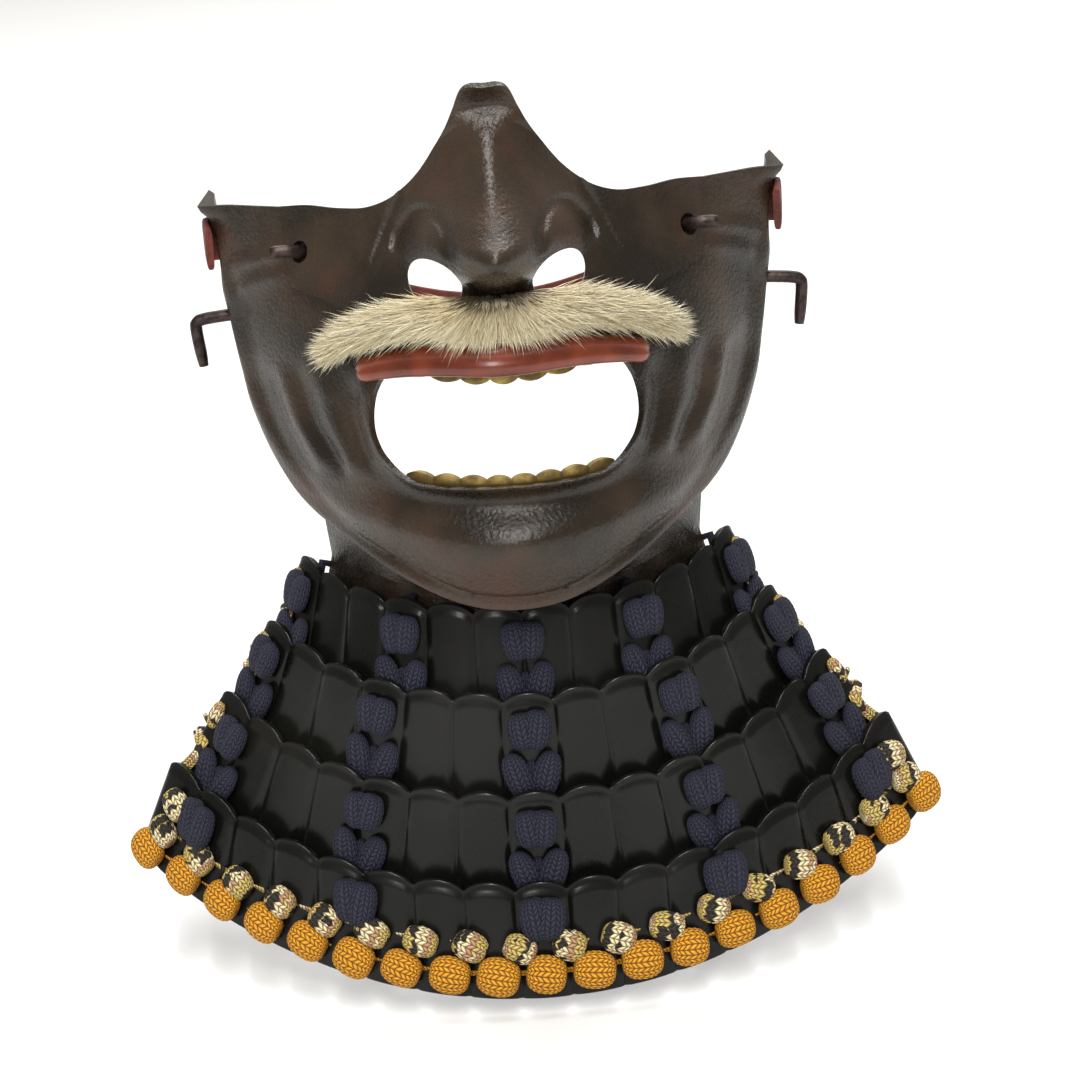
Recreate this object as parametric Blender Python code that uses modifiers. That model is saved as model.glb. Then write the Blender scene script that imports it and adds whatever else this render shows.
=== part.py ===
"""Samurai face guard: an iron mask with a detachable nose, and a throat guard of four laced lames.

Metres, +Z up, the face looking along -Y. The origin is the inside of the chin cup, where the chin bears.
"""

import math

import bmesh
import bpy
from mathutils import Matrix, Vector

# Mask shell
FACE_HALF_WIDTH = 0.080  # midline to wing corner
FACE_DEPTH = 0.084  # chin front to wing corner
FACE_HEIGHT = 0.104  # chin rim to cheek top
RIM_DROP = 0.020  # chin rim below the chin seat
SHELL_WALL = 0.0020
WING_FLANGE = 0.022  # turned-back edge at the wing corner
FLANGE_FLARE = 0.10  # how far the turned-back edge leans out, as a share of its width
GAP = 0.0004  # between pieces that touch

# Nose plate
PLATE_WALL = 0.0018
PLATE_GAP = 0.0006  # under the plate, which springs on and off
NOSE_RISE = 0.034  # tip of the nose in front of the face
NOSE_HALF_WIDTH = 0.026
NOSTRIL_WING_OUT = 0.0172  # centre of the flared wing of each nostril
NOSTRIL_WING_ABOVE = 0.0195  # centre above the low edge of the plate, as for the nostril and the hook
NOSTRIL_WING_WIDE = 0.0092
NOSTRIL_WING_TALL = 0.0110
NOSTRIL_WING_RISE = 0.0065
NOSTRIL_OUT = 0.0164
NOSTRIL_ABOVE = 0.0110
NOSTRIL_WIDE = 0.0072
NOSTRIL_TALL = 0.0072

# Hooks and pegs
ROD = 0.0032
ROD_HOLE = 0.0040
HOOK_OUT = 0.0523
HOOK_ABOVE = 0.0133
HOOK_HOLE = 0.0062  # in the nose plate, which springs over the hook
HOOK_STANDS = 0.0055
HOOK_REACH = 0.0058
PEG_BEHIND = 0.0048  # middle of the peg behind the corner of the turned-back edge
PEG_UP = 0.0490
PEG_REACH = 0.0110
PEG_DROP = 0.0140
PEG_LEAN = 0.0010  # how far each leg of a peg is out of square
HEAD_SCALE = 1.9  # riveted head, as a share of the rod
HEAD_THICK = 0.0010
HEAD_STEP = 0.0001  # from the head's width to the rod's
CUTTER_REACH = 0.020

# Mouth
LIP_HALF_WIDTH = 0.0395
LIP_HEIGHT = 0.0088
LIP_RISE = 0.0040
LIP_ABOVE = 0.0033  # middle of the lip above the mouth
LIP_END_DROP = 0.0066
LIP_TAPER = 0.55  # how much lower it is towards its ends
LIP_THIN = 0.30  # how much thinner
LIP_END = 0.45  # rounding of the very end
TEETH_WALL = 0.0014
TEETH_HEIGHT = 0.0066
TEETH_SHOW = 0.0036  # how far they stand past the edge of the mouth
TOOTH_SCALLOP = 0.0012
UPPER_TEETH_HALF_WIDTH = 0.0300
LOWER_TEETH_HALF_WIDTH = 0.0300
TEETH = 8

# Moustache
MOUSTACHE_HALF_WIDTH = 0.0450
MOUSTACHE_HEIGHT = 0.0120
MOUSTACHE_THICK = 0.0085
MOUSTACHE_ABOVE = 0.0030  # middle of the hair above the low edge of the nose plate
MOUSTACHE_DROOP = 0.0115
MOUSTACHE_STANDS = 0.0048  # back of the hair in front of the face
MOUSTACHE_CLEAR = 0.0018  # to the underside of the nose
MOUSTACHE_SQUEEZE = 0.35  # its thickness there, as a share of the rest
LOCK = 0.0030

# Throat guard
LAME_WALL = 0.0018
CORD_SPACE = 0.0042  # between one lame and the next, for the lacing
LAP = 0.0052  # how far a lame hangs behind the next
SCALLOP_RISE = 0.0027
SCALLOP_STEPS = 3
NECK_WALL = 0.0018
NECK_REACH = 0.0095  # neck plate below the top of the first lame
NECK_KNEE = 0.0055  # bend of the neck plate above it
NECK_SPAN = 0.90  # as a share of the first lame
NECK_LAST_SPOKE = 4.4  # where it ends under the jaw, in spokes of the mask
NECK_STEPS = 9
LOW_DROP = 0.0294  # last lame, top to bottom at the middle
LOW_FORWARD = 0.0070
LOW_END_DROP = 0.0257
LOW_END_FORWARD = 0.0030
LOW_END_SPREAD = 0.0118

# Lacing
STEM = 0.0024  # cord thickness where it goes through a hole
HOLE_CLEAR = 0.0004
STEM_WIDTH = 0.0030
PAD_WIDTH = 0.0085
PAD_THICK = 0.0036
EAR_WIDTH = 0.0060
EDGE_CORD = 0.0022
EDGE_KNOT = 0.0042
EDGE_GAP = 0.0009
EDGE_KNOT_DROPS = (0.0050, 0.0155)
EDGE_KNOT_HALF = 0.0030  # middle of a knot to its end
EDGE_KNOT_FULL = 0.0012  # middle of a knot to where it narrows
KNOT_THICK = 0.0042

# Strap
STRAP_WIDTH = 0.0130
STRAP_THICK = 0.0022
STRAP_BEHIND = 0.0090  # middle of the slot behind the corner of the turned-back edge
STRAP_UP = 0.070
STRAP_LOOP_DEPTH = 0.062
STRAP_SAG = 0.044
STRAP_STANDS = 0.0045  # middle of the strap outside the turned-back edge
STRAP_INSET = 0.0052  # middle of the strap inside it
STRAP_END = 0.0060  # end of the strap in front of its slot
STRAP_END_SHARE = 0.7  # its width there
STRAP_STEPS = 16

PROBE = 0.0005  # for the slope of the face
LAME_PROBE = 0.05  # for the run of a lame, in scallops
HEXAGON = 1.155  # corners of a hexagon, as a share of its flats

FACE_COLUMNS = ("level", "middle", "mouth", "cheek", "side", "wing")
FACE_STATIONS = (0.0, 0.25, 0.5, 0.75, 1.0)  # shares of the half width
FACE_LEVELS = (  # level: share of the face's height. The others: share of its depth
    (0.000, 0.107, 0.214, 0.524, 0.929, 1.333),
    (0.077, 0.048, 0.131, 0.393, 0.786, 1.214),
    (0.212, 0.000, 0.083, 0.298, 0.643, 1.119),
    (0.298, 0.077, 0.137, 0.315, 0.613, 1.083),
    (0.356, 0.060, 0.131, 0.321, 0.607, 1.060),
    (0.481, 0.083, 0.155, 0.345, 0.619, 1.036),
    (0.635, 0.107, 0.190, 0.381, 0.655, 1.012),
    (0.798, 0.167, 0.274, 0.476, 0.714, 1.000),
    (1.000, 0.333, 0.429, 0.595, 0.786, 1.000),
    (1.337, 0.333, 0.452, 0.643, 0.833, 1.048),
)

SPOKE_COLUMNS = ("mouth_out", "mouth_level", "edge_out", "edge_level", "flange")
SPOKES = (  # from the chin round to the wing corner: shares of half width, height and wing flange
    (0.000, 0.356, 0.000, 0.019, 0.14),
    (0.113, 0.354, 0.163, 0.029, 0.16),
    (0.225, 0.351, 0.325, 0.067, 0.23),
    (0.313, 0.354, 0.488, 0.115, 0.36),
    (0.375, 0.375, 0.638, 0.168, 0.45),
    (0.419, 0.413, 0.763, 0.240, 0.55),
    (0.441, 0.452, 0.856, 0.346, 0.59),
    (0.450, 0.490, 0.919, 0.481, 0.64),
    (0.450, 0.529, 0.956, 0.635, 0.68),
    (0.440, 0.567, 0.981, 0.798, 0.77),
    (0.425, 0.596, 1.006, 0.976, 1.00),
)
TOP_SPOKES = (  # from the wing corner along the cheek and round the nose opening
    (0.425, 0.596, 1.006, 0.976, 0.0),
    (0.403, 0.620, 0.875, 0.986, 0.0),
    (0.369, 0.638, 0.738, 0.995, 0.0),
    (0.325, 0.644, 0.606, 0.998, 0.0),
    (0.269, 0.647, 0.500, 0.942, 0.0),
    (0.213, 0.648, 0.413, 0.846, 0.0),
    (0.150, 0.649, 0.300, 0.784, 0.0),
    (0.075, 0.649, 0.150, 0.764, 0.0),
    (0.000, 0.649, 0.000, 0.760, 0.0),
)
SPOKE_STEPS = 2
RINGS = 6

NOSE_COLUMNS = ("level", "rise", "wide")
NOSE_LEVELS = (  # level: share of the face's height. Rise and half width: shares of the nose's
    (0.760, 0.06, 0.77),
    (0.788, 0.08, 0.77),
    (0.837, 0.20, 0.77),
    (0.861, 0.35, 0.77),
    (0.880, 0.60, 0.85),
    (0.904, 0.83, 0.92),
    (0.942, 0.98, 0.96),
    (0.981, 1.00, 1.00),
    (1.019, 0.78, 1.00),
    (1.067, 0.50, 0.92),
    (1.135, 0.235, 0.73),
    (1.212, 0.03, 0.54),
    (1.260, -0.09, 0.42),
    (1.298, -0.02, 0.38),
    (1.340, 0.07, 0.35),
)
PLATE_COLUMNS = ("top_out", "top_level", "low_out", "low_level")
PLATE_SPOKES = (  # shares of half width and height
    (0.000, 1.337, 0.000, 0.760),
    (0.050, 1.339, 0.044, 0.760),
    (0.0875, 1.327, 0.0875, 0.760),
    (0.1075, 1.288, 0.119, 0.760),
    (0.125, 1.240, 0.150, 0.760),
    (0.1625, 1.188, 0.1875, 0.760),
    (0.219, 1.125, 0.231, 0.760),
    (0.300, 1.061, 0.2875, 0.760),
    (0.400, 1.021, 0.3625, 0.760),
    (0.5125, 1.010, 0.475, 0.760),
    (0.625, 1.010, 0.5875, 0.779),
    (0.716, 1.000, 0.694, 0.798),
)
PLATE_ROWS = (0, 0.067, 0.14, 0.27, 0.41, 0.53, 0.61, 0.68, 0.75, 0.79, 0.83, 0.9, 1)

LAME_COLUMNS = ("scallops", "scallop", "radius", "tilt", "front", "top", "columns")
LAMES = (  # tilt: degrees that the top edge rises to its ends. Columns: where the lacing hangs, in scallops
    (12, 0.01350, 0.068, 7.0, 0.0180, -0.0251, (0, 2.5, 5.45)),
    (13, 0.01385, 0.084, 17.0, 0.0075, -0.0473, (0, 3.0, 5.95)),
    (15, 0.01420, 0.102, 22.5, -0.0005, -0.0736, (0, 3.3, 6.60)),
    (17, 0.01440, 0.130, 28.3, -0.0070, -0.0982, (0, 3.6, 7.25)),
)

# Drop: below the notches of the lame. Side: -1 behind the lame, 0 in the space behind it, 1 in front
ROUTE_COLUMNS = ("drop", "side", "width", "thick")
PAD_ROUTE = (
    (0.0036, 0, STEM_WIDTH, STEM),
    (0.0036, 1, STEM_WIDTH, STEM),
    (0.0073, 1, PAD_WIDTH, PAD_THICK),
    (0.0110, 1, STEM_WIDTH, STEM),
    (0.0110, -1, STEM_WIDTH, STEM),
    (0.0165, -1, STEM_WIDTH, STEM),
)
EAR_ROUTE = (
    (0.0165, 1, STEM_WIDTH, STEM),
    (0.0210, 1, EAR_WIDTH, STEM),
)
HOLE_DROPS = sorted({row[0] for row in PAD_ROUTE if row[1] < 1})
NECK_HOLE_DROP = -0.0025

KNOT_COLUMNS = ("drop", "count", "width", "height", "span")
KNOT_ROWS = {  # span: share of the last lame's width
    "multicolour_knots": (0.0161, 18, 0.0108, 0.0073, 0.955),
    "orange_knots": (0.0242, 19, 0.0118, 0.0080, 0.985),
}
KNOT_SHAPE_COLUMNS = ("past", "wide", "thick")
KNOT_SHAPE = (  # shares of the knot's width, height and thickness
    (-0.46, 0.3, 0.55),
    (-0.20, 1.0, 1.00),
    (0.20, 1.0, 1.00),
    (0.46, 0.3, 0.55),
)


def rows_of(columns, rows):
    return [dict(zip(columns, row)) for row in rows]


def smooth_value(stops, values, at):
    """A cubic through the values at rising stops, straight beyond its ends."""
    last = len(stops) - 1
    slopes = []
    for i in range(last + 1):
        low, high = max(i - 1, 0), min(i + 1, last)
        slopes.append((values[high] - values[low]) / (stops[high] - stops[low]))
    if at <= stops[0]:
        return values[0] + slopes[0] * (at - stops[0])
    if at >= stops[last]:
        return values[last] + slopes[last] * (at - stops[last])
    i = max(k for k in range(last) if stops[k] <= at)
    span = stops[i + 1] - stops[i]
    t = (at - stops[i]) / span
    rise = t * t * (3 - 2 * t)
    start = t * (1 - t) ** 2 * slopes[i] * span
    end = t * t * (1 - t) * slopes[i + 1] * span
    return values[i] + (values[i + 1] - values[i]) * rise + start - end


def level_height(level):
    return level * FACE_HEIGHT - RIM_DROP


def face_back(x, z):
    """How far back the outer face lies."""
    level = (z + RIM_DROP) / FACE_HEIGHT
    across = abs(x) / FACE_HALF_WIDTH
    levels = rows_of(FACE_COLUMNS, FACE_LEVELS)
    stops = [row["level"] for row in levels]
    depths = [smooth_value(stops, [row[name] for row in levels], level) for name in FACE_COLUMNS[1:]]
    mirrored = (-FACE_STATIONS[1],) + FACE_STATIONS
    return smooth_value(mirrored, [depths[1]] + depths, across) * FACE_DEPTH - SHELL_WALL


def face_point(x, z, out=0.0):
    """A point on the face, or that far out from it along its normal."""
    along = Vector((2 * PROBE, face_back(x + PROBE, z) - face_back(x - PROBE, z), 0))
    up = Vector((0, face_back(x, z + PROBE) - face_back(x, z - PROBE), 2 * PROBE))
    normal = along.cross(up).normalized()
    return Vector((x, face_back(x, z), z)) + normal * out


def level_point(x, z, out):
    """A point at that height, that far out from the face along the level."""
    along = Vector((2 * PROBE, face_back(x + PROBE, z) - face_back(x - PROBE, z), 0))
    return Vector((x, face_back(x, z), z)) + along.cross(Vector((0, 0, 1))).normalized() * out


def nose_rise(x, z):
    level = (z + RIM_DROP) / FACE_HEIGHT
    rows = rows_of(NOSE_COLUMNS, NOSE_LEVELS)
    stops = [row["level"] for row in rows]
    rise = smooth_value(stops, [row["rise"] for row in rows], level) * NOSE_RISE
    wide = smooth_value(stops, [row["wide"] for row in rows], level) * NOSE_HALF_WIDTH
    across = min(abs(x) / wide, 1)
    wing = ((abs(x) - NOSTRIL_WING_OUT) / NOSTRIL_WING_WIDE) ** 2
    wing += ((z - plate_low() - NOSTRIL_WING_ABOVE) / NOSTRIL_WING_TALL) ** 2
    return rise * (1 + math.cos(math.pi * across)) / 2 + NOSTRIL_WING_RISE * max(1 - wing, 0) ** 2


def plate_point(x, z):
    """A point on the outside of the nose plate, which lies on the face."""
    return face_point(x, z, PLATE_GAP + PLATE_WALL) - Vector((0, nose_rise(x, z), 0))


def spoke(rows, at):
    """The two ends of a spoke of the mask, from the mouth to its edge, and the width of the flange there."""
    table = rows_of(SPOKE_COLUMNS, rows)
    stops = list(range(len(table)))
    found = [smooth_value(stops, [row[name] for row in table], at) for name in SPOKE_COLUMNS]
    mouth = (found[0] * FACE_HALF_WIDTH, level_height(found[1]))
    edge = (found[2] * FACE_HALF_WIDTH, level_height(found[3]))
    return mouth, edge, found[4] * WING_FLANGE


def flange_out(y, z):
    """How far out the turned-back edge of the mask is at that place."""
    edges = [spoke(SPOKES, at)[1] for at in range(len(SPOKES))]
    edge = smooth_value([up for out, up in edges], [out for out, up in edges], z)
    return edge + (y - face_back(edge, z)) * FLANGE_FLARE * edge / FACE_HALF_WIDTH


def edge_back(z):
    """How far back the corner of the turned-back edge is at that height."""
    edges = [spoke(SPOKES, at)[1] for at in range(len(SPOKES))]
    return face_back(smooth_value([up for out, up in edges], [out for out, up in edges], z), z)


def plate_low():
    """Height of the low edge of the nose plate at the middle."""
    return level_height(rows_of(PLATE_COLUMNS, PLATE_SPOKES)[0]["low_level"])


def mouth_low():
    return spoke(SPOKES, 0)[0][1]


def mouth_top():
    return spoke(TOP_SPOKES, len(TOP_SPOKES) - 1)[0][1]


def hook_root(side):
    """Middle of a hook on the face, and the way it stands out."""
    root = face_point(side * HOOK_OUT, plate_low() + HOOK_ABOVE)
    return root, face_point(side * HOOK_OUT, plate_low() + HOOK_ABOVE, 1) - root


def peg_root(side):
    back = edge_back(PEG_UP) + PEG_BEHIND
    return Vector((side * flange_out(back, PEG_UP), back, PEG_UP))


def lame_row(index):
    return dict(zip(LAME_COLUMNS, LAMES[index]))


def lame_top(index, at):
    """A point on the top edge of a lame, between scallops, that many scallops from its middle."""
    row = lame_row(index)
    turn = at * row["scallop"] / row["radius"]
    tilt = math.radians(row["tilt"])
    back = row["radius"] * (1 - math.cos(turn))
    x = row["radius"] * math.sin(turn)
    return Vector((x, row["front"] + back * math.cos(tilt), row["top"] + back * math.sin(tilt)))


def lame_down(index, at):
    """From the top edge of a lame to the foot of its showing part."""
    share = at / (lame_row(index)["scallops"] / 2)
    if index == len(LAMES) - 1:
        middle = Vector((0, -LOW_FORWARD, -LOW_DROP))
        end = Vector((math.copysign(LOW_END_SPREAD, at), -LOW_END_FORWARD, -LOW_END_DROP))
        return middle.lerp(end, share * share)
    below = share * lame_row(index + 1)["scallops"] / 2
    inside = lame_top(index + 1, below) - lame_normal(index + 1, below) * (LAME_WALL + CORD_SPACE)
    return inside - lame_top(index, at)


def lame_along(index, at):
    return (lame_top(index, at + LAME_PROBE) - lame_top(index, at - LAME_PROBE)).normalized()


def lame_normal(index, at):
    return lame_down(index, at).cross(lame_along(index, at)).normalized()


def lame_point(index, at, drop, out=0.0):
    down = lame_down(index, at)
    return lame_top(index, at) + down.normalized() * drop + lame_normal(index, at) * out


def lame_height(index, at):
    lap = 0 if index == len(LAMES) - 1 else LAP
    return lame_down(index, at).length + lap


def clear_scene():
    for obj in list(bpy.data.objects):
        bpy.data.objects.remove(obj, do_unlink=True)


def collection(name):
    made = bpy.data.collections.new(name)
    bpy.context.scene.collection.children.link(made)
    return made


def material(name, color, roughness, metallic=0.0):
    made = bpy.data.materials.new(name)
    made.use_nodes = True
    shader = made.node_tree.nodes["Principled BSDF"]
    shader.inputs["Base Color"].default_value = (*color, 1)
    shader.inputs["Roughness"].default_value = roughness
    shader.inputs["Metallic"].default_value = metallic
    return made


def add_object(name, bm, finish, place):
    mesh = bpy.data.meshes.new(name)
    bm.to_mesh(mesh)
    bm.free()
    mesh.materials.append(finish)
    obj = bpy.data.objects.new(name, mesh)
    place.objects.link(obj)
    return obj


def grid_mesh(rows):
    """A sheet of quads through rows of points, facing the way that rows cross points."""
    bm = bmesh.new()
    made = [[bm.verts.new(point) for point in row] for row in rows]
    for first, second in zip(made, made[1:]):
        for i in range(len(first) - 1):
            bm.faces.new((first[i], first[i + 1], second[i + 1], second[i]))
    return bm


def thicken(obj, wall):
    solid = obj.modifiers.new("Wall", "SOLIDIFY")
    solid.thickness = wall
    solid.offset = -1
    solid.use_even_offset = True
    solid.use_rim = True


def mirror(obj):
    half = obj.modifiers.new("Other half", "MIRROR")
    half.use_axis = (True, False, False)
    half.use_clip = True
    half.merge_threshold = 0.00001


def cut(obj, cutter):
    cutter.hide_render = True
    cutter.display_type = "WIRE"
    holes = obj.modifiers.new("Holes", "BOOLEAN")
    holes.operation = "DIFFERENCE"
    holes.solver = "EXACT"
    holes.object = cutter


def smooth(obj, degrees=40):
    obj.data.shade_smooth()
    obj.data.set_sharp_from_angle(angle=math.radians(degrees))


def ribbon(points, widths, across, sides=6):
    """A closed solid swept along the points. Widths: width and thickness at each. Across: the width's way."""
    bm = bmesh.new()
    rings = []
    for i, point in enumerate(points):
        came = (point - points[i - 1]).normalized() if i else None
        goes = (points[i + 1] - point).normalized() if i + 1 < len(points) else None
        ahead = ((came or goes) + (goes or came)).normalized()
        wide = (across[i] - ahead * across[i].dot(ahead)).normalized()
        thick = ahead.cross(wide)
        stretch = 1 / max(ahead.dot(came or goes), 0.5)
        half_width = widths[i][0] / 2
        half_thick = widths[i][1] / 2 * stretch
        ring = []
        for k in range(sides):
            turn = 2 * math.pi * (k + (0.5 if sides == 4 else 0)) / sides
            grow = math.sqrt(2) if sides == 4 else 1
            side = wide * math.cos(turn) * half_width * grow
            rise = thick * math.sin(turn) * half_thick * (grow if sides == 4 else HEXAGON)
            ring.append(bm.verts.new(point + side + rise))
        rings.append(ring)
    for first, second in zip(rings, rings[1:]):
        for k in range(sides):
            n = (k + 1) % sides
            bm.faces.new((first[k], first[n], second[n], second[k]))
    bm.faces.new(rings[0])
    bm.faces.new(rings[-1][::-1])
    bmesh.ops.recalc_face_normals(bm, faces=bm.faces)
    return bm


def box_at(bm, centre, along, down, out, size):
    """A box cutter with its sides along those directions."""
    turned = Matrix((along, down, out)).transposed().to_4x4()
    sized = Matrix.Diagonal((*size, 1))
    bmesh.ops.create_cube(bm, size=1, matrix=Matrix.Translation(centre) @ turned @ sized)


def rod_at(bm, centre, direction, radius, depth, segments=8):
    turned = direction.to_track_quat("Z", "Y").to_matrix().to_4x4()
    bmesh.ops.create_cone(
        bm,
        cap_ends=True,
        segments=segments,
        radius1=radius,
        radius2=radius,
        depth=depth,
        matrix=Matrix.Translation(centre) @ turned,
    )


def make_mask_shell(place, cutters, finish):
    stops = [i / SPOKE_STEPS for i in range(SPOKE_STEPS * (len(SPOKES) - 1) + 1)]
    spokes = [(SPOKES, at) for at in stops] + [(TOP_SPOKES, at) for at in range(1, len(TOP_SPOKES))]
    rows = []
    flanges = []
    for table, at in spokes:
        mouth, edge, flange = spoke(table, at)
        row = []
        for ring in range(RINGS + 1):
            share = ring / RINGS
            x = mouth[0] + (edge[0] - mouth[0]) * share
            z = mouth[1] + (edge[1] - mouth[1]) * share
            row.append(face_point(x, z))
        rows.append(row)
        flanges.append(row[-1] + Vector((flange * FLANGE_FLARE * edge[0] / FACE_HALF_WIDTH, flange, 0)))
    bm = grid_mesh([row[::-1] for row in rows])
    bm.verts.ensure_lookup_table()
    edge = [bm.verts[i * (RINGS + 1)] for i in range(len(stops))]
    turned = [bm.verts.new(point) for point in flanges[: len(stops)]]
    for i in range(len(turned) - 1):
        bm.faces.new((turned[i], edge[i], edge[i + 1], turned[i + 1]))
    bmesh.ops.recalc_face_normals(bm, faces=bm.faces)
    if sum((face.normal.y * face.calc_area() for face in bm.faces)) > 0:
        bmesh.ops.reverse_faces(bm, faces=bm.faces)
    shell = add_object("mask_shell", bm, finish, place)
    mirror(shell)
    thicken(shell, SHELL_WALL)
    holes = bmesh.new()
    for side in (-1, 1):
        root, out = hook_root(side)
        rod_at(holes, root, out, ROD_HOLE / 2, 4 * SHELL_WALL)
        rod_at(holes, peg_root(side), Vector((1, 0, 0)), ROD_HOLE / 2, CUTTER_REACH)
        slot = (CUTTER_REACH, STRAP_THICK + 2 * GAP, STRAP_WIDTH + 4 * GAP)
        back = edge_back(STRAP_UP) + STRAP_BEHIND
        centre = Vector((side * flange_out(back, STRAP_UP), back, STRAP_UP))
        box_at(holes, centre, Vector((1, 0, 0)), Vector((0, 1, 0)), Vector((0, 0, 1)), slot)
    cut(shell, add_object("shell_holes", holes, finish, cutters))
    smooth(shell)
    return shell


def make_nose_plate(place, cutters, finish):
    rows = []
    for line in rows_of(PLATE_COLUMNS, PLATE_SPOKES):
        top = (line["top_out"] * FACE_HALF_WIDTH, level_height(line["top_level"]))
        low = (line["low_out"] * FACE_HALF_WIDTH, level_height(line["low_level"]))
        row = []
        for share in PLATE_ROWS:
            x = top[0] + (low[0] - top[0]) * share
            z = top[1] + (low[1] - top[1]) * share
            row.append(plate_point(x, z))
        rows.append(row)
    for point in rows[0]:
        point.x = 0
    bm = grid_mesh(rows)
    plate = add_object("nose_plate", bm, finish, place)
    mirror(plate)
    thicken(plate, PLATE_WALL)
    holes = bmesh.new()
    for side in (-1, 1):
        root, out = hook_root(side)
        rod_at(holes, root, out, HOOK_HOLE / 2, CUTTER_REACH)
        nostril = bmesh.ops.create_cone(holes, cap_ends=True, segments=12, radius1=1, radius2=1, depth=1)
        sized = Matrix.Diagonal((NOSTRIL_WIDE, FACE_DEPTH, NOSTRIL_TALL, 1))
        placed = Matrix.Translation((side * NOSTRIL_OUT, 0, plate_low() + NOSTRIL_ABOVE))
        turned = Matrix.Rotation(math.radians(90), 4, "X")
        bmesh.ops.transform(holes, matrix=placed @ sized @ turned, verts=nostril["verts"])
    bmesh.ops.recalc_face_normals(holes, faces=holes.faces)
    cut(plate, add_object("plate_holes", holes, finish, cutters))
    smooth(plate)
    return plate


def make_rod(name, points, radii, finish, place):
    curve = bpy.data.curves.new(name, "CURVE")
    curve.dimensions = "3D"
    curve.bevel_depth = ROD / 2
    curve.bevel_resolution = 1
    curve.use_fill_caps = True
    spline = curve.splines.new("POLY")
    spline.points.add(len(points) - 1)
    for target, point, radius in zip(spline.points, points, radii):
        target.co = (*point, 1)
        target.radius = radius
    curve.materials.append(finish)
    rod = bpy.data.objects.new(name, curve)
    place.objects.link(rod)
    return rod


def make_hooks(place, finish):
    for name, side in (("left", -1), ("right", 1)):
        root, out = hook_root(side)
        head = root - out * (SHELL_WALL + GAP)
        bend = root + out * HOOK_STANDS
        points = [head - out * HEAD_THICK, head, head + out * HEAD_STEP, bend - out * ROD / 2]
        points += [bend + Vector((side * ROD / 2, 0, 0)), bend + Vector((side * HOOK_REACH, 0, 0))]
        radii = (HEAD_SCALE, HEAD_SCALE, 1, 1, 1, 1)
        make_rod(f"nose_hook_{name}", points, radii, finish, place)
        root = peg_root(side)
        out = Vector((side, 0, 0))
        head = root - out * (SHELL_WALL + 2 * GAP)
        bend = root + out * PEG_REACH - Vector((0, 0, PEG_LEAN))
        points = [head - out * HEAD_THICK, head, head + out * HEAD_STEP, bend - out * ROD / 2]
        points += [bend - Vector((0, 0, ROD / 2)), bend - Vector((side * PEG_LEAN, 0, PEG_DROP))]
        make_rod(f"side_peg_{name}", points, radii, finish, place)


def make_upper_lip(place, finish):
    steps = 7
    points = []
    widths = []
    across = []
    for i in range(-steps, steps + 1):
        share = i / steps
        x = share * LIP_HALF_WIDTH
        z = mouth_top() + LIP_ABOVE - LIP_END_DROP * abs(share) ** 2.5
        height = LIP_HEIGHT * (1 - LIP_TAPER * abs(share) ** 1.5)
        rise = LIP_RISE * (1 - LIP_THIN * share * share)
        if abs(i) == steps:
            height *= LIP_END
            rise *= LIP_END
        points.append(face_point(x, z, 2 * GAP + rise / 2 * HEXAGON))
        widths.append((height, rise))
        across.append(Vector((0, face_back(x, z + PROBE) - face_back(x, z - PROBE), 2 * PROBE)))
    lip = add_object("upper_lip", ribbon(points, widths, across), finish, place)
    smooth(lip)


def make_teeth(name, half_width, edge_up, sign, place, finish):
    """Scalloped plate behind the edge of the mouth. Sign: 1 where the teeth stand up, -1 where they hang."""
    steps = 3
    rows = []
    for i in range(TEETH * steps + 1):
        share = i / (TEETH * steps)
        x = half_width * (2 * share - 1)
        curve = abs(math.sin(math.pi * share * TEETH))
        tip = edge_up + sign * (TEETH_SHOW - TOOTH_SCALLOP * (1 - curve))
        root = edge_up + sign * (TEETH_SHOW - TEETH_HEIGHT)
        low, high = sorted((tip, root))
        rows.append([face_point(x, z, -(SHELL_WALL + 2 * GAP)) for z in (high, low)])
    bm = grid_mesh(rows)
    teeth = add_object(name, bm, finish, place)
    thicken(teeth, TEETH_WALL)


def make_moustache(place, finish):
    steps = 10
    ring_count = 10
    bm = bmesh.new()
    rings = []
    for i in range(-steps, steps + 1):
        share = i / steps
        x = share * MOUSTACHE_HALF_WIDTH
        body = max(1 - abs(share) ** 4, 0.12)
        full = 1 + 0.35 * math.sin(math.pi * abs(share))
        z = plate_low() + MOUSTACHE_ABOVE - MOUSTACHE_DROOP * abs(share) ** 1.7
        ring = []
        for k in range(ring_count):
            turn = 2 * math.pi * (k + 0.5) / ring_count
            lock = LOCK * ((i + k) % 2) * body
            lean = math.copysign(lock, i) if i else 0
            height = math.sin(turn) * (MOUSTACHE_HEIGHT / 2 * body * full + lock * 0.5)
            out = MOUSTACHE_STANDS + MOUSTACHE_THICK / 2 * (1 - math.cos(turn) * body)
            point = level_point(x + lean, z + height, out)
            squeezed = MOUSTACHE_CLEAR + (out - MOUSTACHE_STANDS) * MOUSTACHE_SQUEEZE
            point.y = min(point.y, plate_point(point.x, point.z).y - squeezed)
            ring.append(bm.verts.new(point))
        rings.append(ring)
    for first, second in zip(rings, rings[1:]):
        for k in range(ring_count):
            n = (k + 1) % ring_count
            bm.faces.new((first[k], first[n], second[n], second[k]))
    bm.faces.new(rings[0])
    bm.faces.new(rings[-1][::-1])
    bmesh.ops.recalc_face_normals(bm, faces=bm.faces)
    add_object("moustache", bm, finish, place)


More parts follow.
